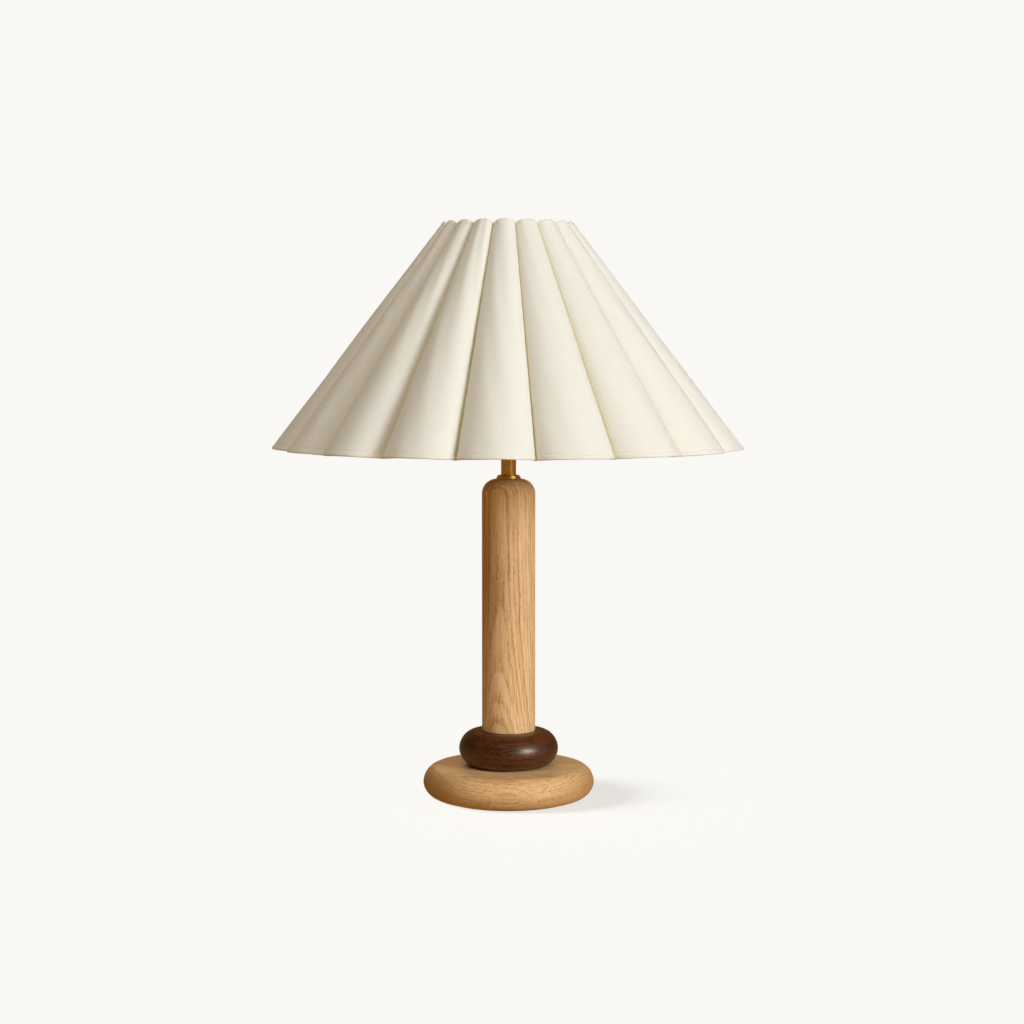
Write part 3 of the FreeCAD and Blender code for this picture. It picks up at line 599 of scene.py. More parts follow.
narrow, wide = BUSH_RADIUS + BUSH_GAP, FLANGE_RADIUS + FLANGE_GAP
inlet_tool = lengthways("inlet_tool", [(0, CUT_FROM), (narrow, CUT_FROM), (narrow, BUSH_SEAT), (wide, BUSH_SEAT),
                                       (wide, CUT_TO), (0, CUT_TO)])
base_piece = place(bored(base_mesh, inlet_tool), oak_lying, "stand", "oak", "base_disc")
place(ring_mesh, walnut_lying, "stand", "walnut", "walnut_ring")
place(column_mesh, oak_upright, "stand", "oak", "column")

# %% Only the base casts a shadow on the ground
shadow_casters = bpy.data.collections.new("in_the_far_light")
shadow_casters.objects.link(base_piece)
far_left.light_linking.blocker_collection = shadow_casters

# %% [markdown]
# ## Metals
#
# The collar, the neck and most of the lampholder are brass, and screws, nuts and the threaded tube are plated steel.
# A metal with one colour and one roughness looks like plastic foil. So fine scratches, made as noise that is drawn
# out across the axis, run round each turned piece, and its colour and roughness wander slowly, as on aged brass.

# %% Metal finishes
def metal(name, colour, dull_colour, roughness, scratch_mm=0.12, patch_mm=7.0):
    """Fine scratches round the axis, a micrometre deep, and slow patches of tarnish."""
    finish = Finish(name, Metallic=1.0)
    scratch = finish.noise(finish.millimetres(squeeze=(0.05, 0.05, 1)), scratch_mm, 2.0)
    patch = finish.noise(finish.millimetres(), patch_mm, 2.0)
    finish.relief(scratch, 0.001)
    return finish.set(Base_Color=finish.blend(patch.within(0.3, 0.8), colour, dull_colour),
                      Roughness=roughness + (scratch - 0.5) * 0.08 + patch * 0.06)


brass = metal("aged_brass", (0.70, 0.42, 0.13), (0.56, 0.32, 0.09), 0.30)
bright_brass = metal("contact_brass", (0.80, 0.60, 0.28), (0.70, 0.50, 0.22), 0.20)
steel = metal("plated_steel", (0.62, 0.62, 0.60), (0.50, 0.50, 0.47), 0.28)
nickel = metal("nickel_cap", (0.72, 0.70, 0.66), (0.62, 0.60, 0.56), 0.18)
print("metals:", brass.name, bright_brass.name, steel.name, nickel.name)

# %% Collar and neck
STEP_RADIUS, STEP_LEVEL = 9.2, 274.6               # where the collar draws in
bore, radius, bottom, top = measured("brass_collar")
collar = eased([(bore, bottom), (radius, bottom), (radius, STEP_LEVEL), (STEP_RADIUS, STEP_LEVEL),
                (STEP_RADIUS, top), (bore, top)], 0.35)
place(turned("stepped_collar", collar, 96), brass, "stand", "brass", "brass_collar")
neck = eased(plain_ring(*measured("neck_tube")), 0.3)
place(turned("brass_neck", neck, 96), brass, "stand", "brass", "neck_tube")

# %% [markdown]
# ## The lampholder
#
# Under the shade, a brass cap with a hub screws onto the central tube, and a threaded skirt screws into the cap.
# Two rings run on that thread and clamp the shade's carrier between them. A thread could be a swept spiral that is
# joined to a rod, but the joint is never clean. Here it is a turned piece whose radius also depends on the angle:
# the ridge climbs by one pitch in each turn, so the surface stays in one piece.

# %% Cap
def thread(profile, turns, pitch, depth, low, high):
    """How far a thread between two levels draws the radius in: half the depth, times 1 minus the climb's cosine."""
    level = np.asarray(profile)[:, 1:]
    radius = np.asarray(profile)[:, :1]
    angle = np.arange(turns)[None, :] / turns
    wave = 0.5 - 0.5 * np.cos(TURN * (level / pitch - angle))
    ends = np.clip((level - low) / pitch, 0, 1) * np.clip((high - level) / pitch, 0, 1)
    return -depth * wave * ends * (radius > radius.max() - 0.01)


HUB_RADIUS, HUB_TOP = 9.0, 331.0
CAP_SHOULDER, CAP_BORE = 340.0, 18.8
bore, cap_radius, cap_foot, cap_rim = measured("holder_cap")
_, _, insert_foot, insert_top = measured("holder_insert")
cap = eased([(bore, cap_foot), (HUB_RADIUS, cap_foot), (HUB_RADIUS, HUB_TOP), (cap_radius, CAP_SHOULDER),
             (cap_radius, cap_rim), (CAP_BORE, cap_rim), (CAP_BORE, insert_foot), (bore, insert_foot)],
            (0.1, 0.8, 2.0, 5.0, 0.5, 0.3, 0.3, 0.1), 6)
place(turned("holder_cap_spun", cap, 128), brass, "stand", "brass", "holder_cap")

# %% Skirt
SKIRT_BORE, SKIRT_TENON = 17.7, 18.75              # round the porcelain, and inside the cap
SKIRT_PITCH, SKIRT_DEPTH = 2.0, 0.55
LAND_DROP = 0.3                                    # beyond the thread's ends the skirt is this much thinner
lip, skirt_radius, bottom, top = measured("holder_skirt")
level = np.linspace(cap_rim + 0.3, top - 0.4, 150)
skirt = np.vstack([[SKIRT_BORE, bottom], [SKIRT_TENON, bottom], [SKIRT_TENON, cap_rim],
                   [skirt_radius - LAND_DROP, cap_rim], np.stack([np.full_like(level, skirt_radius), level], -1),
                   [skirt_radius - LAND_DROP, top], [lip, top], [lip, insert_top], [SKIRT_BORE, insert_top]])
winding = thread(skirt, 96, SKIRT_PITCH, SKIRT_DEPTH, cap_rim + 1.0, top - 0.5)
place(turned("holder_skirt_threaded", skirt, 96, winding), brass, "stand", "brass", "holder_skirt")


# %% The two clamping rings
RIBS, RIB_HEIGHT = 48, 0.7
RIM_IN = 0.1                                       # the rim stays this far inside the frame's


def ribbed_ring(name, node_name, turns=288):
    """A ring with ribs round its rim: the rim's radius goes in and out as the cosine of the ribs times the angle."""
    inner, outer, bottom, top = measured(node_name)
    rim = eased(plain_ring(inner, outer - RIM_IN, bottom, top), (0.3, 0.7, 0.7, 0.3))
    rib = RIB_HEIGHT / 2 * (np.cos(RIBS * np.arange(turns) * TURN / turns) - 1.0)
    return turned(name, rim, turns, rib[None, :] * (rim[:, :1] > outer - 2.0))


place(ribbed_ring("clamp_ring_lower", "shade_ring_lower"), brass, "stand", "brass", "shade_ring_lower")
place(ribbed_ring("clamp_ring_upper", "shade_ring_upper"), brass, "stand", "brass", "shade_ring_upper")

# %% [markdown]
# ## The bulb
#
# The bulb is hidden in the photograph, so it is a plain one: a white housing, an opal dome and a nickel-plated cap.
# All three are turned, and the cap has the round knuckle thread that fits the holder, made like the skirt's. It shows
# when the bulb is unscrewed. Plastic and porcelain are one colour each, and a fine uneven skin keeps them real.

# %% Plastics and porcelain
def moulded(name, colour, roughness, grain_mm, **constants):
    """Plastic or glaze: one colour, with a fine orange-peel skin."""
    finish = Finish(name, **constants)
    skin = finish.noise(finish.millimetres(), grain_mm, 2.0)
    finish.relief(skin, 0.01)
    return finish.set(Base_Color=finish.blend(skin, colour, tuple(0.93 * c for c in colour)),
                      Roughness=roughness + (skin - 0.5) * 0.1)


opal = moulded("opal_dome", (0.86, 0.86, 0.83), 0.24, 3.0, Coat_Weight=0.3)
white_plastic = moulded("white_housing", (0.80, 0.80, 0.78), 0.42, 0.6)
black_plastic = moulded("black_plastic", (0.022, 0.021, 0.020), 0.40, 0.5)
porcelain = moulded("porcelain", (0.78, 0.76, 0.70), 0.14, 2.5, Coat_Weight=0.5)
print("moulded:", opal.name, white_plastic.name, black_plastic.name, porcelain.name)

# %% The bulb's cap
KNUCKLE_PITCH, KNUCKLE_DEPTH = 25.4 / 7, 0.85      # seven turns to the inch
foot_radius, radius, bottom, top = measured("bulb_cap")
level = np.linspace(bottom + 2.0, top - 1.4, 90)
bulb_cap = np.vstack([[0.0, bottom], [foot_radius, bottom], [radius - 0.4, bottom + 1.0],
                      np.stack([np.full_like(level, radius), level], -1), [radius, top], [0.0, top]])
winding = thread(bulb_cap, 96, KNUCKLE_PITCH, KNUCKLE_DEPTH, bottom + 1.5, top - 1.0)
place(turned("bulb_cap_threaded", bulb_cap, 96, winding), nickel, "bulb", "bulb_metal", "bulb_cap")

# %% Housing and dome
HOUSING_RIM = [(26.3, 433.6), (25.6, 434.0)]
DOME_RADIUS = 30.0
neck_radius, _, bottom, top = measured("bulb_housing")
housing = eased([(0.0, bottom), (neck_radius, bottom), *HOUSING_RIM, (0.0, top)], (0.0, 1.2, 0.4, 0.3, 0.0))
place(turned("bulb_housing_moulded", housing, 128), white_plastic, "bulb", "white_plastic", "bulb_housing")
_, _, bottom, crown = measured("bulb_dome")
middle = crown - DOME_RADIUS
angle = np.linspace(math.asin((bottom - middle) / DOME_RADIUS), np.pi / 2, 40)
dome = np.vstack([[0.0, bottom],
                  np.stack([DOME_RADIUS * np.cos(angle), middle + DOME_RADIUS * np.sin(angle)], -1)])
place(turned("bulb_dome_blown", dome, 128), opal, "bulb", "opal_plastic", "bulb_dome")

# %% [markdown]
# ## The shade's frame
#
# Three bent wires rise from a flat carrier ring to a small wire ring at the top, and a large wire ring holds the
# hem. All are white enamelled steel. A curve with a bevel would also give a wire, but its ends need closing and its
# places aren't at hand for the next piece. So a wire is a circle carried along a path: at each point of the path the
# circle lies across the path's direction.

# %% White enamel and wires
def enamel():
    """Powder coat: a soft gloss with a slight orange peel."""
    finish = Finish("white_enamel", Coat_Weight=0.25)
    peel = finish.noise(finish.millimetres(), 0.8, 2.0)
    finish.relief(peel, 0.015)
    return finish.set(Base_Color=finish.blend(peel, (0.80, 0.79, 0.76), (0.72, 0.71, 0.68)),
                      Roughness=0.34 + (peel - 0.5) * 0.12)


white_enamel = enamel()


def hoop(name, node_name):
    """A closed ring of round wire: a circle of the wire's radius carried round the axis."""
    inner, outer, bottom, top = measured(node_name)
    radius, level, wire = (inner + outer) / 2, (bottom + top) / 2, (outer - inner) / 2
    section = np.arange(12) * TURN / 12
    return turned(name, np.stack([radius + wire * np.cos(section), level + wire * np.sin(section)], -1), 240)


place(hoop("top_hoop", "shade_top_ring"), white_enamel, "shade", "white_enamel", "shade_top_ring")
place(hoop("hem_hoop", "shade_hem_ring"), white_enamel, "shade", "white_enamel", "shade_hem_ring")
carrier = eased(plain_ring(*measured("carrier_ring")), 0.4)
place(turned("carrier_plate", carrier, 128), white_enamel, "shade", "white_enamel", "carrier_ring")

# %% The three arms
ARM_WIRE = 1.5                                     # the wire's radius
KNEE_RADIUS = 9.0
ARM_START, ARM_KNEE, ARM_END = (29.5, 386.1), (45.0, 386.1), (50.37, 478.9)   # distance from the axis, and level
ARM_TURNS = (90.0, 210.0, 330.0)                   # degrees about the axis


def arm_path():
    """Out along the carrier, round the knee and up to the top ring, in the plane of x and z."""
    start, knee, end = np.array(ARM_START), np.array(ARM_KNEE), np.array(ARM_END)
    out, up = (knee - start) / np.linalg.norm(knee - start), (end - knee) / np.linalg.norm(end - knee)
    turn = math.acos(out @ up)
    cut = KNEE_RADIUS * math.tan(turn / 2)
    centre = knee - out * cut + KNEE_RADIUS * np.array([-out[1], out[0]])
    bend = np.linspace(0.0, turn, 12)
    path = np.vstack([np.linspace(start, knee - out * cut, 6)[:-1],
                      centre + KNEE_RADIUS * np.stack([np.sin(bend), -np.cos(bend)], -1),
                      np.linspace(knee + up * cut, end, 24)[1:]])
    return np.stack([path[:, 0], np.zeros(len(path)), path[:, 1]], -1)


def arms():
    """One arm's grid of points, turned to three places about the axis. Each end closes in a circle of no radius."""
    path = arm_path()
    along = np.gradient(path, axis=0)
    path, along = [np.vstack([rows[:1], rows, rows[-1:]]) for rows in (path, along)]
    radius = np.full(len(path), ARM_WIRE)
    radius[[0, -1]] = 0.0
    along /= np.linalg.norm(along, axis=1, keepdims=True)
    side = np.array([0.0, 1.0, 0.0])
    across = np.cross(side, along)
    angle = np.arange(12) * TURN / 12
    circle = np.cos(angle)[None, :, None] * side + np.sin(angle)[None, :, None] * across[:, None]
    grid = path[:, None] + radius[:, None, None] * circle
    shape = bmesh.new()
    for turn in ARM_TURNS:
        c, s = math.cos(math.radians(turn)), math.sin(math.radians(turn))
        turned_grid = grid @ np.array([[c, s, 0.0], [-s, c, 0.0], [0.0, 0.0, 1.0]])
        shape.from_mesh(surface("arm", turned_grid, close_rows=False))
    mesh = bpy.data.meshes.new("carrier_wires")
    shape.to_mesh(mesh)
    shape.free()
    return mesh


place(arms(), white_enamel, "shade", "white_enamel", "carrier_arms")

# %% [markdown]
# ## Felt, bush and inner pieces
#
# The pad under the base is dense wool felt: its rim is soft and slightly uneven. Loose fibres could be grown on it as
# hair, but under a lamp nobody sees them, so they are noise of two sizes. The bush that lines the cord inlet is
# black plastic with a rolled flange. What lies inside the base and the holder keeps the frame's own shape and only
# gets its finish.

# %% Felt pad and bush
def felt():
    """Matted fibres: short tangled hairs over broader clumps."""
    finish = Finish("wool_felt", Roughness=0.95, Sheen_Weight=0.3)
    hair = finish.noise(finish.millimetres(), 0.35, 4.0, 0.7, 2.0)
    mat = finish.noise(finish.millimetres(), 2.5, 3.0)
    finish.relief(hair, 0.25)
    return finish.set(Base_Color=finish.blend(hair * 0.7 + mat * 0.3, (0.020, 0.019, 0.018), (0.060, 0.056, 0.052)))


FRAY = 0.12                                        # how far the felt's cut edge strays
_, radius, bottom, top = measured("felt_pad")
rim = eased(plain_ring(0.0, radius - RIM_IN, bottom, top), (0.0, 0.5, 0.35, 0.0), 6)
angle = np.arange(240) * TURN / 240
fray = FRAY * np.sin(17 * angle) * np.sin(41 * angle + 1.0)
felt_mesh = turned("felt_disc", rim, len(angle), fray[None, :] * (rim[:, :1] > radius - 7.0))
place(felt_mesh, felt(), "stand", "felt", "felt_pad")
bush = eased([(BUSH_BORE, BUSH_START), (BUSH_RADIUS, BUSH_START), (BUSH_RADIUS, BUSH_SEAT),
              (FLANGE_RADIUS, BUSH_SEAT), (FLANGE_RADIUS, BUSH_END), (BUSH_BORE, BUSH_END)],
             (0.4, 0.3, 0.1, 0.2, 0.8, 0.9), 5)
place(lengthways("inlet_bush", bush, 64), black_plastic, "stand", "black_plastic", "cord_bush")


# %% Finishes for the frame's own pieces
def cast():
    """Rough sand-cast iron."""
    finish = Finish("cast_iron", Metallic=0.6)
    sand = finish.noise(finish.millimetres(), 1.2, 4.0, 0.6)
    finish.relief(sand, 0.25)
    return finish.set(Base_Color=finish.blend(sand, (0.10, 0.10, 0.105), (0.17, 0.165, 0.16)),
                      Roughness=0.6 + (sand - 0.5) * 0.3)


KEPT = {
    "base_weight": cast(), "weight_screws": steel, "base_washer": steel, "lock_washer": steel, "base_nut": steel,
    "threaded_tube": steel, "cap_grub_screw": steel, "holder_insert": porcelain, "terminal_screws": bright_brass,
    "screw_shell": bright_brass, "centre_contact": bright_brass, "switch_bush": brass, "switch_spindle": brass,
    "switch_cam": black_plastic, "bulb_contact": nickel, "bulb_insulator": black_plastic,
}
for name, finish in KEPT.items():
    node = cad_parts[name]
    node.data.materials.clear()
    node.data.materials.append(finish)
print(len(KEPT), "nodes keep the frame's shape")


# %% The switch's thumb piece
def softened(node_name, new_name, width_mm):
    """A merged copy of a node's mesh with its edges rounded.

    The node's mesh is loose triangles, so its points are joined and its flat faces made whole before the bevel.
    """
    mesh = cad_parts[node_name].data.copy()
    mesh.name = new_name
    shape = bmesh.new()
    shape.from_mesh(mesh)
    bmesh.ops.remove_doubles(shape, verts=shape.verts, dist=10 * SAME_POINT)
    bmesh.ops.dissolve_limit(shape, angle_limit=math.radians(3), verts=shape.verts, edges=shape.edges)
    shape.to_mesh(mesh)
    shape.free()
    block = bpy.data.objects.new(new_name, mesh)
    bpy.context.scene.collection.objects.link(block)
    rounding = block.modifiers.new("edges", "BEVEL")
    rounding.width = width_mm * MM
    rounding.segments = 3
    rounding.angle_limit = math.radians(40)
    result = bpy.data.meshes.new_from_object(block.evaluated_get(bpy.context.evaluated_depsgraph_get()))
    bpy.data.objects.remove(block)
    bpy.data.meshes.remove(mesh)
    result.name = new_name
    return closed(result)


place(softened("switch_knob", "thumb_piece", 0.7), black_plastic, "switch", "black_plastic", "switch_knob")

# %% [markdown]
# ## The pleated cover
#
# The cover is eighteen flutes of stiffened linen. Each stands out from its valleys by half an ellipse, leans a
# little to the right and runs straight from the hem to the top. Real cloth is never so even, so each valley and
# crest is a little out of place, and slow waves run over the whole cover. The cloth is folded in at both rims and
# stitched, which leaves a shallow groove near each edge.
#
# A simulation would lose the crisp valleys, so the surface is a formula of two parameters: the number of pleats
# walked round the shade, and the distance from the hem.

# %% The cover's sizes and its unevenness
PLEATS = 18
PLEAT_TURN = 360.0 / PLEATS                        # degrees
LEAN = 1.15                                        # above 1 a crest lies to the right of its pleat's middle
RIMS = {                                           # the lift is how far a crest stands above its valleys
    "hem": {"first_valley": -102.8, "valley": 176.0, "crest": 199.0, "level": 297.3, "lift": 2.4},
    "top": {"first_valley": -103.5, "valley": 50.4, "crest": 54.6, "level": 484.7, "lift": 3.8},
}
HEIGHT = RIMS["top"]["level"] - RIMS["hem"]["level"]
TAPER = RIMS["hem"]["valley"] - RIMS["top"]["valley"]
SLANT = math.hypot(HEIGHT, TAPER)                  # from the hem to the top along the cloth
chance = np.random.RandomState(11)
uneven = {                                         # one value for each pleat, in degrees, millimetres or shares
    "valley_hem": chance.uniform(-0.35, 0.35, PLEATS),
    "valley_top": chance.uniform(-0.5, 0.5, PLEATS),
    "crest": chance.uniform(-0.5, 0.5, PLEATS),
    "lean": chance.uniform(-0.05, 0.05, PLEATS),
    "drop": chance.uniform(-0.3, 0.3, PLEATS),
}
# each wave: how often it runs round the shade, how often it runs up it, where it starts and how high it is
waves = [(chance.randint(2, 60), chance.uniform(0.3, 3.0), chance.uniform(0, TURN), chance.uniform(0.02, 0.07))
         for _ in range(14)]
print(f"{PLEATS} pleats, {SLANT:.1f} mm from the hem to the top along the cloth")


# %% The cover's formula
def swell(share, lean):
    """How far a pleat stands out: the root of 1 minus the square of the distance from its crest, which leans right."""
    centred = 2.0 * share ** (LEAN + lean) - 1.0
    return np.sqrt(np.clip(1.0 - centred ** 2.0, 0.0, 1.0))


def rim_point(number, share, rim):
    """A point of one rim: its angle between two valleys, and its radius and level raised by the swell."""
    size, astray = RIMS[rim], uneven["valley_" + rim]
    turn_start = size["first_valley"] + PLEAT_TURN * number + astray[number % PLEATS]
    turn_end = size["first_valley"] + PLEAT_TURN * (number + 1) + astray[(number + 1) % PLEATS]
    angle = np.radians(turn_start + (turn_end - turn_start) * share)
    out = swell(share, uneven["lean"][number % PLEATS])
    radius = size["valley"] + (size["crest"] - size["valley"] + uneven["crest"][number % PLEATS]) * out
    height = size["level"] + (size["lift"] + uneven["drop"][number % PLEATS]) * out
    return np.stack([radius * np.cos(angle), radius * np.sin(angle), height], axis=-1)


def cover_point(walked, distance):
    """A point of the cover's outside: a straight line from the hem's point to the top's, plus slow waves outwards.

    Each wave is its height times the sine of its turns round the shade and up it. They push the point square to the
    cone on which the valleys lie.
    """
    walked, distance = np.broadcast_arrays(np.asarray(walked, float), np.asarray(distance, float))
    number = np.floor(walked + 1e-9).astype(int)
    share = np.clip(walked - number, 0.0, 1.0)
    hem, top = rim_point(number, share, "hem"), rim_point(number, share, "top")
    point = hem + (top - hem) * (distance / SLANT)[..., None]
    ripple = sum(size * np.sin(rounds * walked * TURN / PLEATS + rises * distance / SLANT * TURN + phase)
                 for rounds, rises, phase, size in waves)
    way_out = point[..., :2] / np.linalg.norm(point[..., :2], axis=-1, keepdims=True)
    outward = np.concatenate([way_out * HEIGHT / SLANT, np.full(way_out[..., :1].shape, TAPER / SLANT)], axis=-1)
    return point + outward * ripple[..., None]


def cover_outward(walked, distance, step=0.004):
    """The direction square to the cover: the cross product of a small step round it and a small step up it."""
    round_it = cover_point(walked + step, distance) - cover_point(walked - step, distance)
    up_it = cover_point(walked, distance + 0.5) - cover_point(walked, distance - 0.5)
    square = np.cross(round_it, up_it)
    return square / np.linalg.norm(square, axis=-1, keepdims=True)


# %% The cloth's thickness, folds and grooves
CLOTH = 0.8
FOLD_END, FOLD_STEP = 9.4, 0.8                     # the folded cloth ends here, and thins over this length
STITCH = 4.5                                       # the stitches' distance from each rim
GROOVE_DEPTH, GROOVE_WIDTH = 0.28, 0.55
BULGE_HEIGHT, BULGE_PLACE, BULGE_WIDTH = 0.15, 2.2, 1.6


def groove_depth(distance):
    """The stitches draw the cloth in, and it bulges beside them: both fade as e to minus the distance squared."""
    from_stitch = np.minimum(np.abs(distance - STITCH), np.abs(SLANT - distance - STITCH))
    from_edge = np.minimum(distance, SLANT - distance)
    return (GROOVE_DEPTH * np.exp(-(from_stitch / GROOVE_WIDTH) ** 2)
            - BULGE_HEIGHT * np.exp(-((from_edge - BULGE_PLACE) / BULGE_WIDTH) ** 2))


def fold_depth(distance):
    """The depth of the cover's inside: the cloth's thickness, and twice that where it is folded in at each rim."""
    from_edge = np.minimum(distance, SLANT - distance)
    return CLOTH + CLOTH * np.clip((FOLD_END - from_edge) / FOLD_STEP, 0.0, 1.0)


# %% The cover's section from rim to rim
RIM_ROUND = 0.85                                   # how far the rounding of a folded rim reaches
NARROW = 16.0                                      # nearer to a rim than this, the section's points lie closer
near_rim = np.concatenate([[RIM_ROUND, 1.6, 2.4], STITCH + np.array([-1.3, -0.8, -0.4, 0.0, 0.4, 0.8, 1.3]),
                           [7.0, 9.0, 12.0]])
climb = np.concatenate([near_rim, np.linspace(NARROW, SLANT - NARROW, 38), (SLANT - near_rim)[::-1]])
outside = np.stack([climb, groove_depth(climb)], -1)
over = np.linspace(0, np.pi, 7)[1:-1]              # half a turn, from the outside over the rim to the inside
top_rim = np.stack([SLANT - RIM_ROUND + RIM_ROUND * np.sin(over), CLOTH - CLOTH * np.cos(over)], -1)
inner_rim = np.array([RIM_ROUND, 3.0, 6.0, FOLD_END - FOLD_STEP, FOLD_END])
inner_climb = np.concatenate([inner_rim, np.linspace(NARROW, SLANT - NARROW, 26), (SLANT - inner_rim)[::-1]])[::-1]
inside = np.stack([inner_climb, fold_depth(inner_climb)], -1)
hem_rim = np.stack([RIM_ROUND - RIM_ROUND * np.sin(over), CLOTH + CLOTH * np.cos(over)], -1)
section = np.vstack([outside, top_rim, inside, hem_rim])
print("the cover's section has", len(section), "points")

# %% The cover's grid of points
STEPS = 38                                         # faces across one pleat
EVEN_SHARE = 0.55                                  # the rest of the spacing crowds towards the valleys, as a cosine
even = np.arange(STEPS + 1) / STEPS
share_steps = EVEN_SHARE * even + (1.0 - EVEN_SHARE) * (1.0 - np.cos(np.pi * even)) / 2.0
walked = (np.arange(PLEATS)[:, None] + share_steps[None, :-1]).ravel()
grid_walked, grid_climb = np.meshgrid(walked, section[:, 0])
inward = -cover_outward(grid_walked, grid_climb)
cover_grid = cover_point(grid_walked, grid_climb) + inward * section[:, 1][:, None, None]
print("the cover's grid is", cover_grid.shape[0], "by", cover_grid.shape[1], "points")


# %% The cover's mesh
def cloth_map_of(climb_rows):
    """Where each face's corners lie on the flat cloth: across from the pleat's middle line, and up from the hem.

    Across is the length walked along the first pleat's rim, hem and top, and between the two in proportion.
    """
    fine = np.linspace(0.0, 1.0, 400)
    widths = []
    for height in (0.0, SLANT):
        line = cover_point(np.minimum(fine, 0.99999), height)       # just short of the next pleat
        run = np.concatenate([[0.0], np.cumsum(np.linalg.norm(np.diff(line, axis=0), axis=1))])
        widths.append(np.interp(share_steps, fine, run) - run[-1] / 2)
    up = np.stack([climb_rows, np.roll(climb_rows, -1)], -1)
    blend = up[:, None, :, None] / SLANT
    left = np.tile(np.stack([widths[0][:-1], widths[0][1:]], -1), (PLEATS, 1))[None, :, None, :]
    right = np.tile(np.stack([widths[1][:-1], widths[1][1:]], -1), (PLEATS, 1))[None, :, None, :]
    across = left + (right - left) * blend
    rise = np.broadcast_to(up[:, None, :, None], across.shape)
    both = np.stack([across, rise], -1)
    return np.stack([both[:, :, 0, 0], both[:, :, 0, 1], both[:, :, 1, 1], both[:, :, 1, 0]], axis=2).reshape(-1, 2)


VALLEY_WIDTH = 0.22                                # as a share of the swell
is_outside = (np.arange(len(section)) < len(outside))[:, None]
valley_depth = np.exp(-(swell(np.mod(walked, 1.0), 0.0) / VALLEY_WIDTH) ** 2)[None, :] * is_outside
cover_mesh = surface("linen_cover", cover_grid, cloth_map=cloth_map_of(section[:, 0]), valley=valley_depth)
print("the cover has", len(cover_mesh.polygons), "faces")

# %% [markdown]
# ## Linen
#
# Linen's threads differ in thickness, and the thicker stretches, the slubs, catch the eye more than the weave
# itself. Both families of threads are sine waves across the flat cloth, so they follow the cover's own map and
# not the room. Each covers the other in turn, and slow noise along each family makes the slubs. Deep in a valley
# light goes from cloth to cloth many times and comes out yellow, and that light is painted: the cloth there is
# made more yellow.

# %% The linen's finish
THREAD_PITCH = 0.62


def linen(name, colour, deep_colour, painted_bounce_colour):
    """A plain weave with slubs. Warp and weft are sines, and their product says which lies on top."""
    finish = Finish(name, Roughness=0.86, Sheen_Weight=0.15, Sheen_Roughness=0.6)
    flat = finish.node("ShaderNodeSeparateXYZ", {}, {0: finish.node("ShaderNodeUVMap", {"uv_map": "cloth"})})
    across, up = flat * (1.0 / MM), flat.other(1) * (1.0 / MM)
    waves_per_mm = math.pi / THREAD_PITCH

    def slubs(along, over, length, width):
        """Noise drawn out along one family of threads, in millimetres."""
        place = finish.node("ShaderNodeCombineXYZ", {}, {0: along / length, 1: over / width})
        return finish.node("ShaderNodeTexNoise", {}, {"Vector": place, "Scale": 1.0, "Detail": 2.0})

    warp_slub = slubs(up, across, 16.0, 0.7)
    weft_slub = slubs(across, up, 12.0, 0.7)
    warp = (across * waves_per_mm + (warp_slub - 0.5) * 1.4).sin()
    weft = (up * waves_per_mm + (weft_slub - 0.5) * 1.4).sin()
    on_top = (warp * weft).within(-0.5, 0.5)
    height = on_top * (warp * warp) + (1.0 - on_top) * (weft * weft)
    slub = warp_slub * 0.5 + weft_slub * 0.5
    # the slubs' own tone, plus painted shade in the weave: cloth is lighter where a thread lies on top and darker in
    # the dips between threads
    shade = (slub - 0.5) * 1.1 + height * 0.25 + 0.35
    finish.relief(height * 0.5 + slub * 0.5, 0.10)
    cloth_colour = finish.blend(shade.within(0.0, 1.0), deep_colour, colour)
    # painted light: the deeper the cloth lies in a valley, the more it is blended towards the yellow of light bounced
    # between the folds
    valley = finish.node("ShaderNodeAttribute", {"attribute_name": "valley"}, output=2)
    return finish.set(Base_Color=finish.blend(valley * 0.85, cloth_colour, painted_bounce_colour))


ivory_linen = linen("ivory_linen", colour=(0.680, 0.652, 0.578), deep_colour=(0.605, 0.573, 0.487),
                    painted_bounce_colour=(0.74, 0.64, 0.27))
cover = place(cover_mesh, ivory_linen, "shade", "linen", "shade_cover", sharp_deg=60.0)
hem_line = cover_point(np.linspace(0, PLEATS - 1e-6, 4000), 0.0)


# %% [markdown]
# ## The stitches
#
# A row of machine stitches holds each folded rim. At arm's length it is only a fine broken line, which bump could
# draw, but then the mesh itself would have no seam. So each stitch is a short bent thread with few faces: it dives
# into the cloth at both ends and lies on it in the middle.

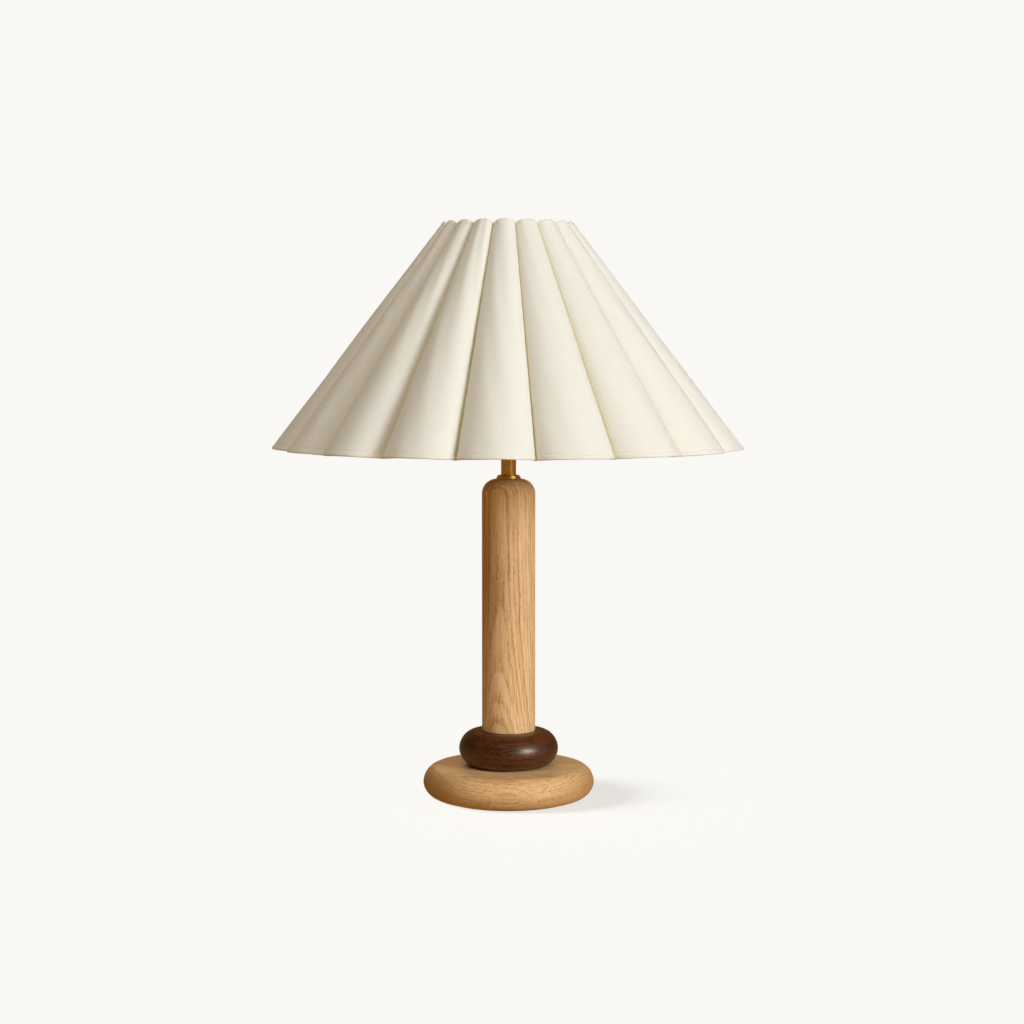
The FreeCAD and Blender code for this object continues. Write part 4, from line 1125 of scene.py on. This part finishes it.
# %% Two rows of stitches
def stitches(name, distance, pitch=3.4, share=0.78, thread=0.24, around=6, rings=5):
    """Short threads along the cover at one distance from the hem, evenly spaced by length along the line.

    A stitch takes a share of its pitch. Its middle line rises above the cloth by the root of a sine, and its
    section is a circle that tapers towards both ends.
    """
    walk = np.linspace(0.0, PLEATS, 12001)[:-1]
    line = cover_point(walk, distance)
    run = np.concatenate([[0.0], np.cumsum(np.linalg.norm(np.diff(line, axis=0), axis=1))])
    count = int(run[-1] / pitch)
    place_along = (np.arange(count)[:, None] + share * np.linspace(0, 1, rings)[None, :]) * run[-1] / count
    walked = np.interp(place_along, run, walk)
    outward = cover_outward(walked, distance)
    sink = groove_depth(np.full(walked.shape, distance))
    arch = np.sin(np.pi * np.linspace(0, 1, rings)) ** 0.5
    centre = cover_point(walked, distance) + outward * (thread * (1.2 * arch[None, :] - 0.9) - sink)[..., None]
    along = np.gradient(centre, axis=1)
    along /= np.linalg.norm(along, axis=-1, keepdims=True)
    side = np.cross(along, outward)
    angle = np.arange(around) * TURN / around
    taper = np.array([0.35, 0.95, 1.0, 0.95, 0.35])          # one value for each ring
    thick = thread * taper[None, :, None, None]
    grid = centre[:, :, None] + thick * (np.cos(angle)[:, None] * outward[:, :, None]
                                         + np.sin(angle)[:, None] * side[:, :, None])
    first = np.arange(count)[:, None, None] * rings * around
    ring, step = np.arange(rings - 1)[None, :, None] * around, np.arange(around)[None, None, :]
    following = (step + 1) % around
    walls = np.stack([first + ring + step, first + ring + following, first + ring + around + following,
                      first + ring + around + step], -1).reshape(-1, 4)
    ends = np.concatenate([first[:, 0] + step[0, 0][::-1], first[:, 0] + (rings - 1) * around + step[0, 0]])
    mesh = bpy.data.meshes.new(name)
    mesh.from_pydata((grid.reshape(-1, 3) * MM).tolist(), [], walls.tolist() + ends.tolist())
    print(name, "has", count, "stitches")
    return closed(mesh)


thread_finish = moulded("linen_thread", (0.80, 0.74, 0.62), 0.7, 0.3)
place(stitches("hem_stitches", STITCH), thread_finish, "shade", "linen", sharp_deg=180.0)
place(stitches("top_stitches", SLANT - STITCH), thread_finish, "shade", "linen", sharp_deg=180.0)
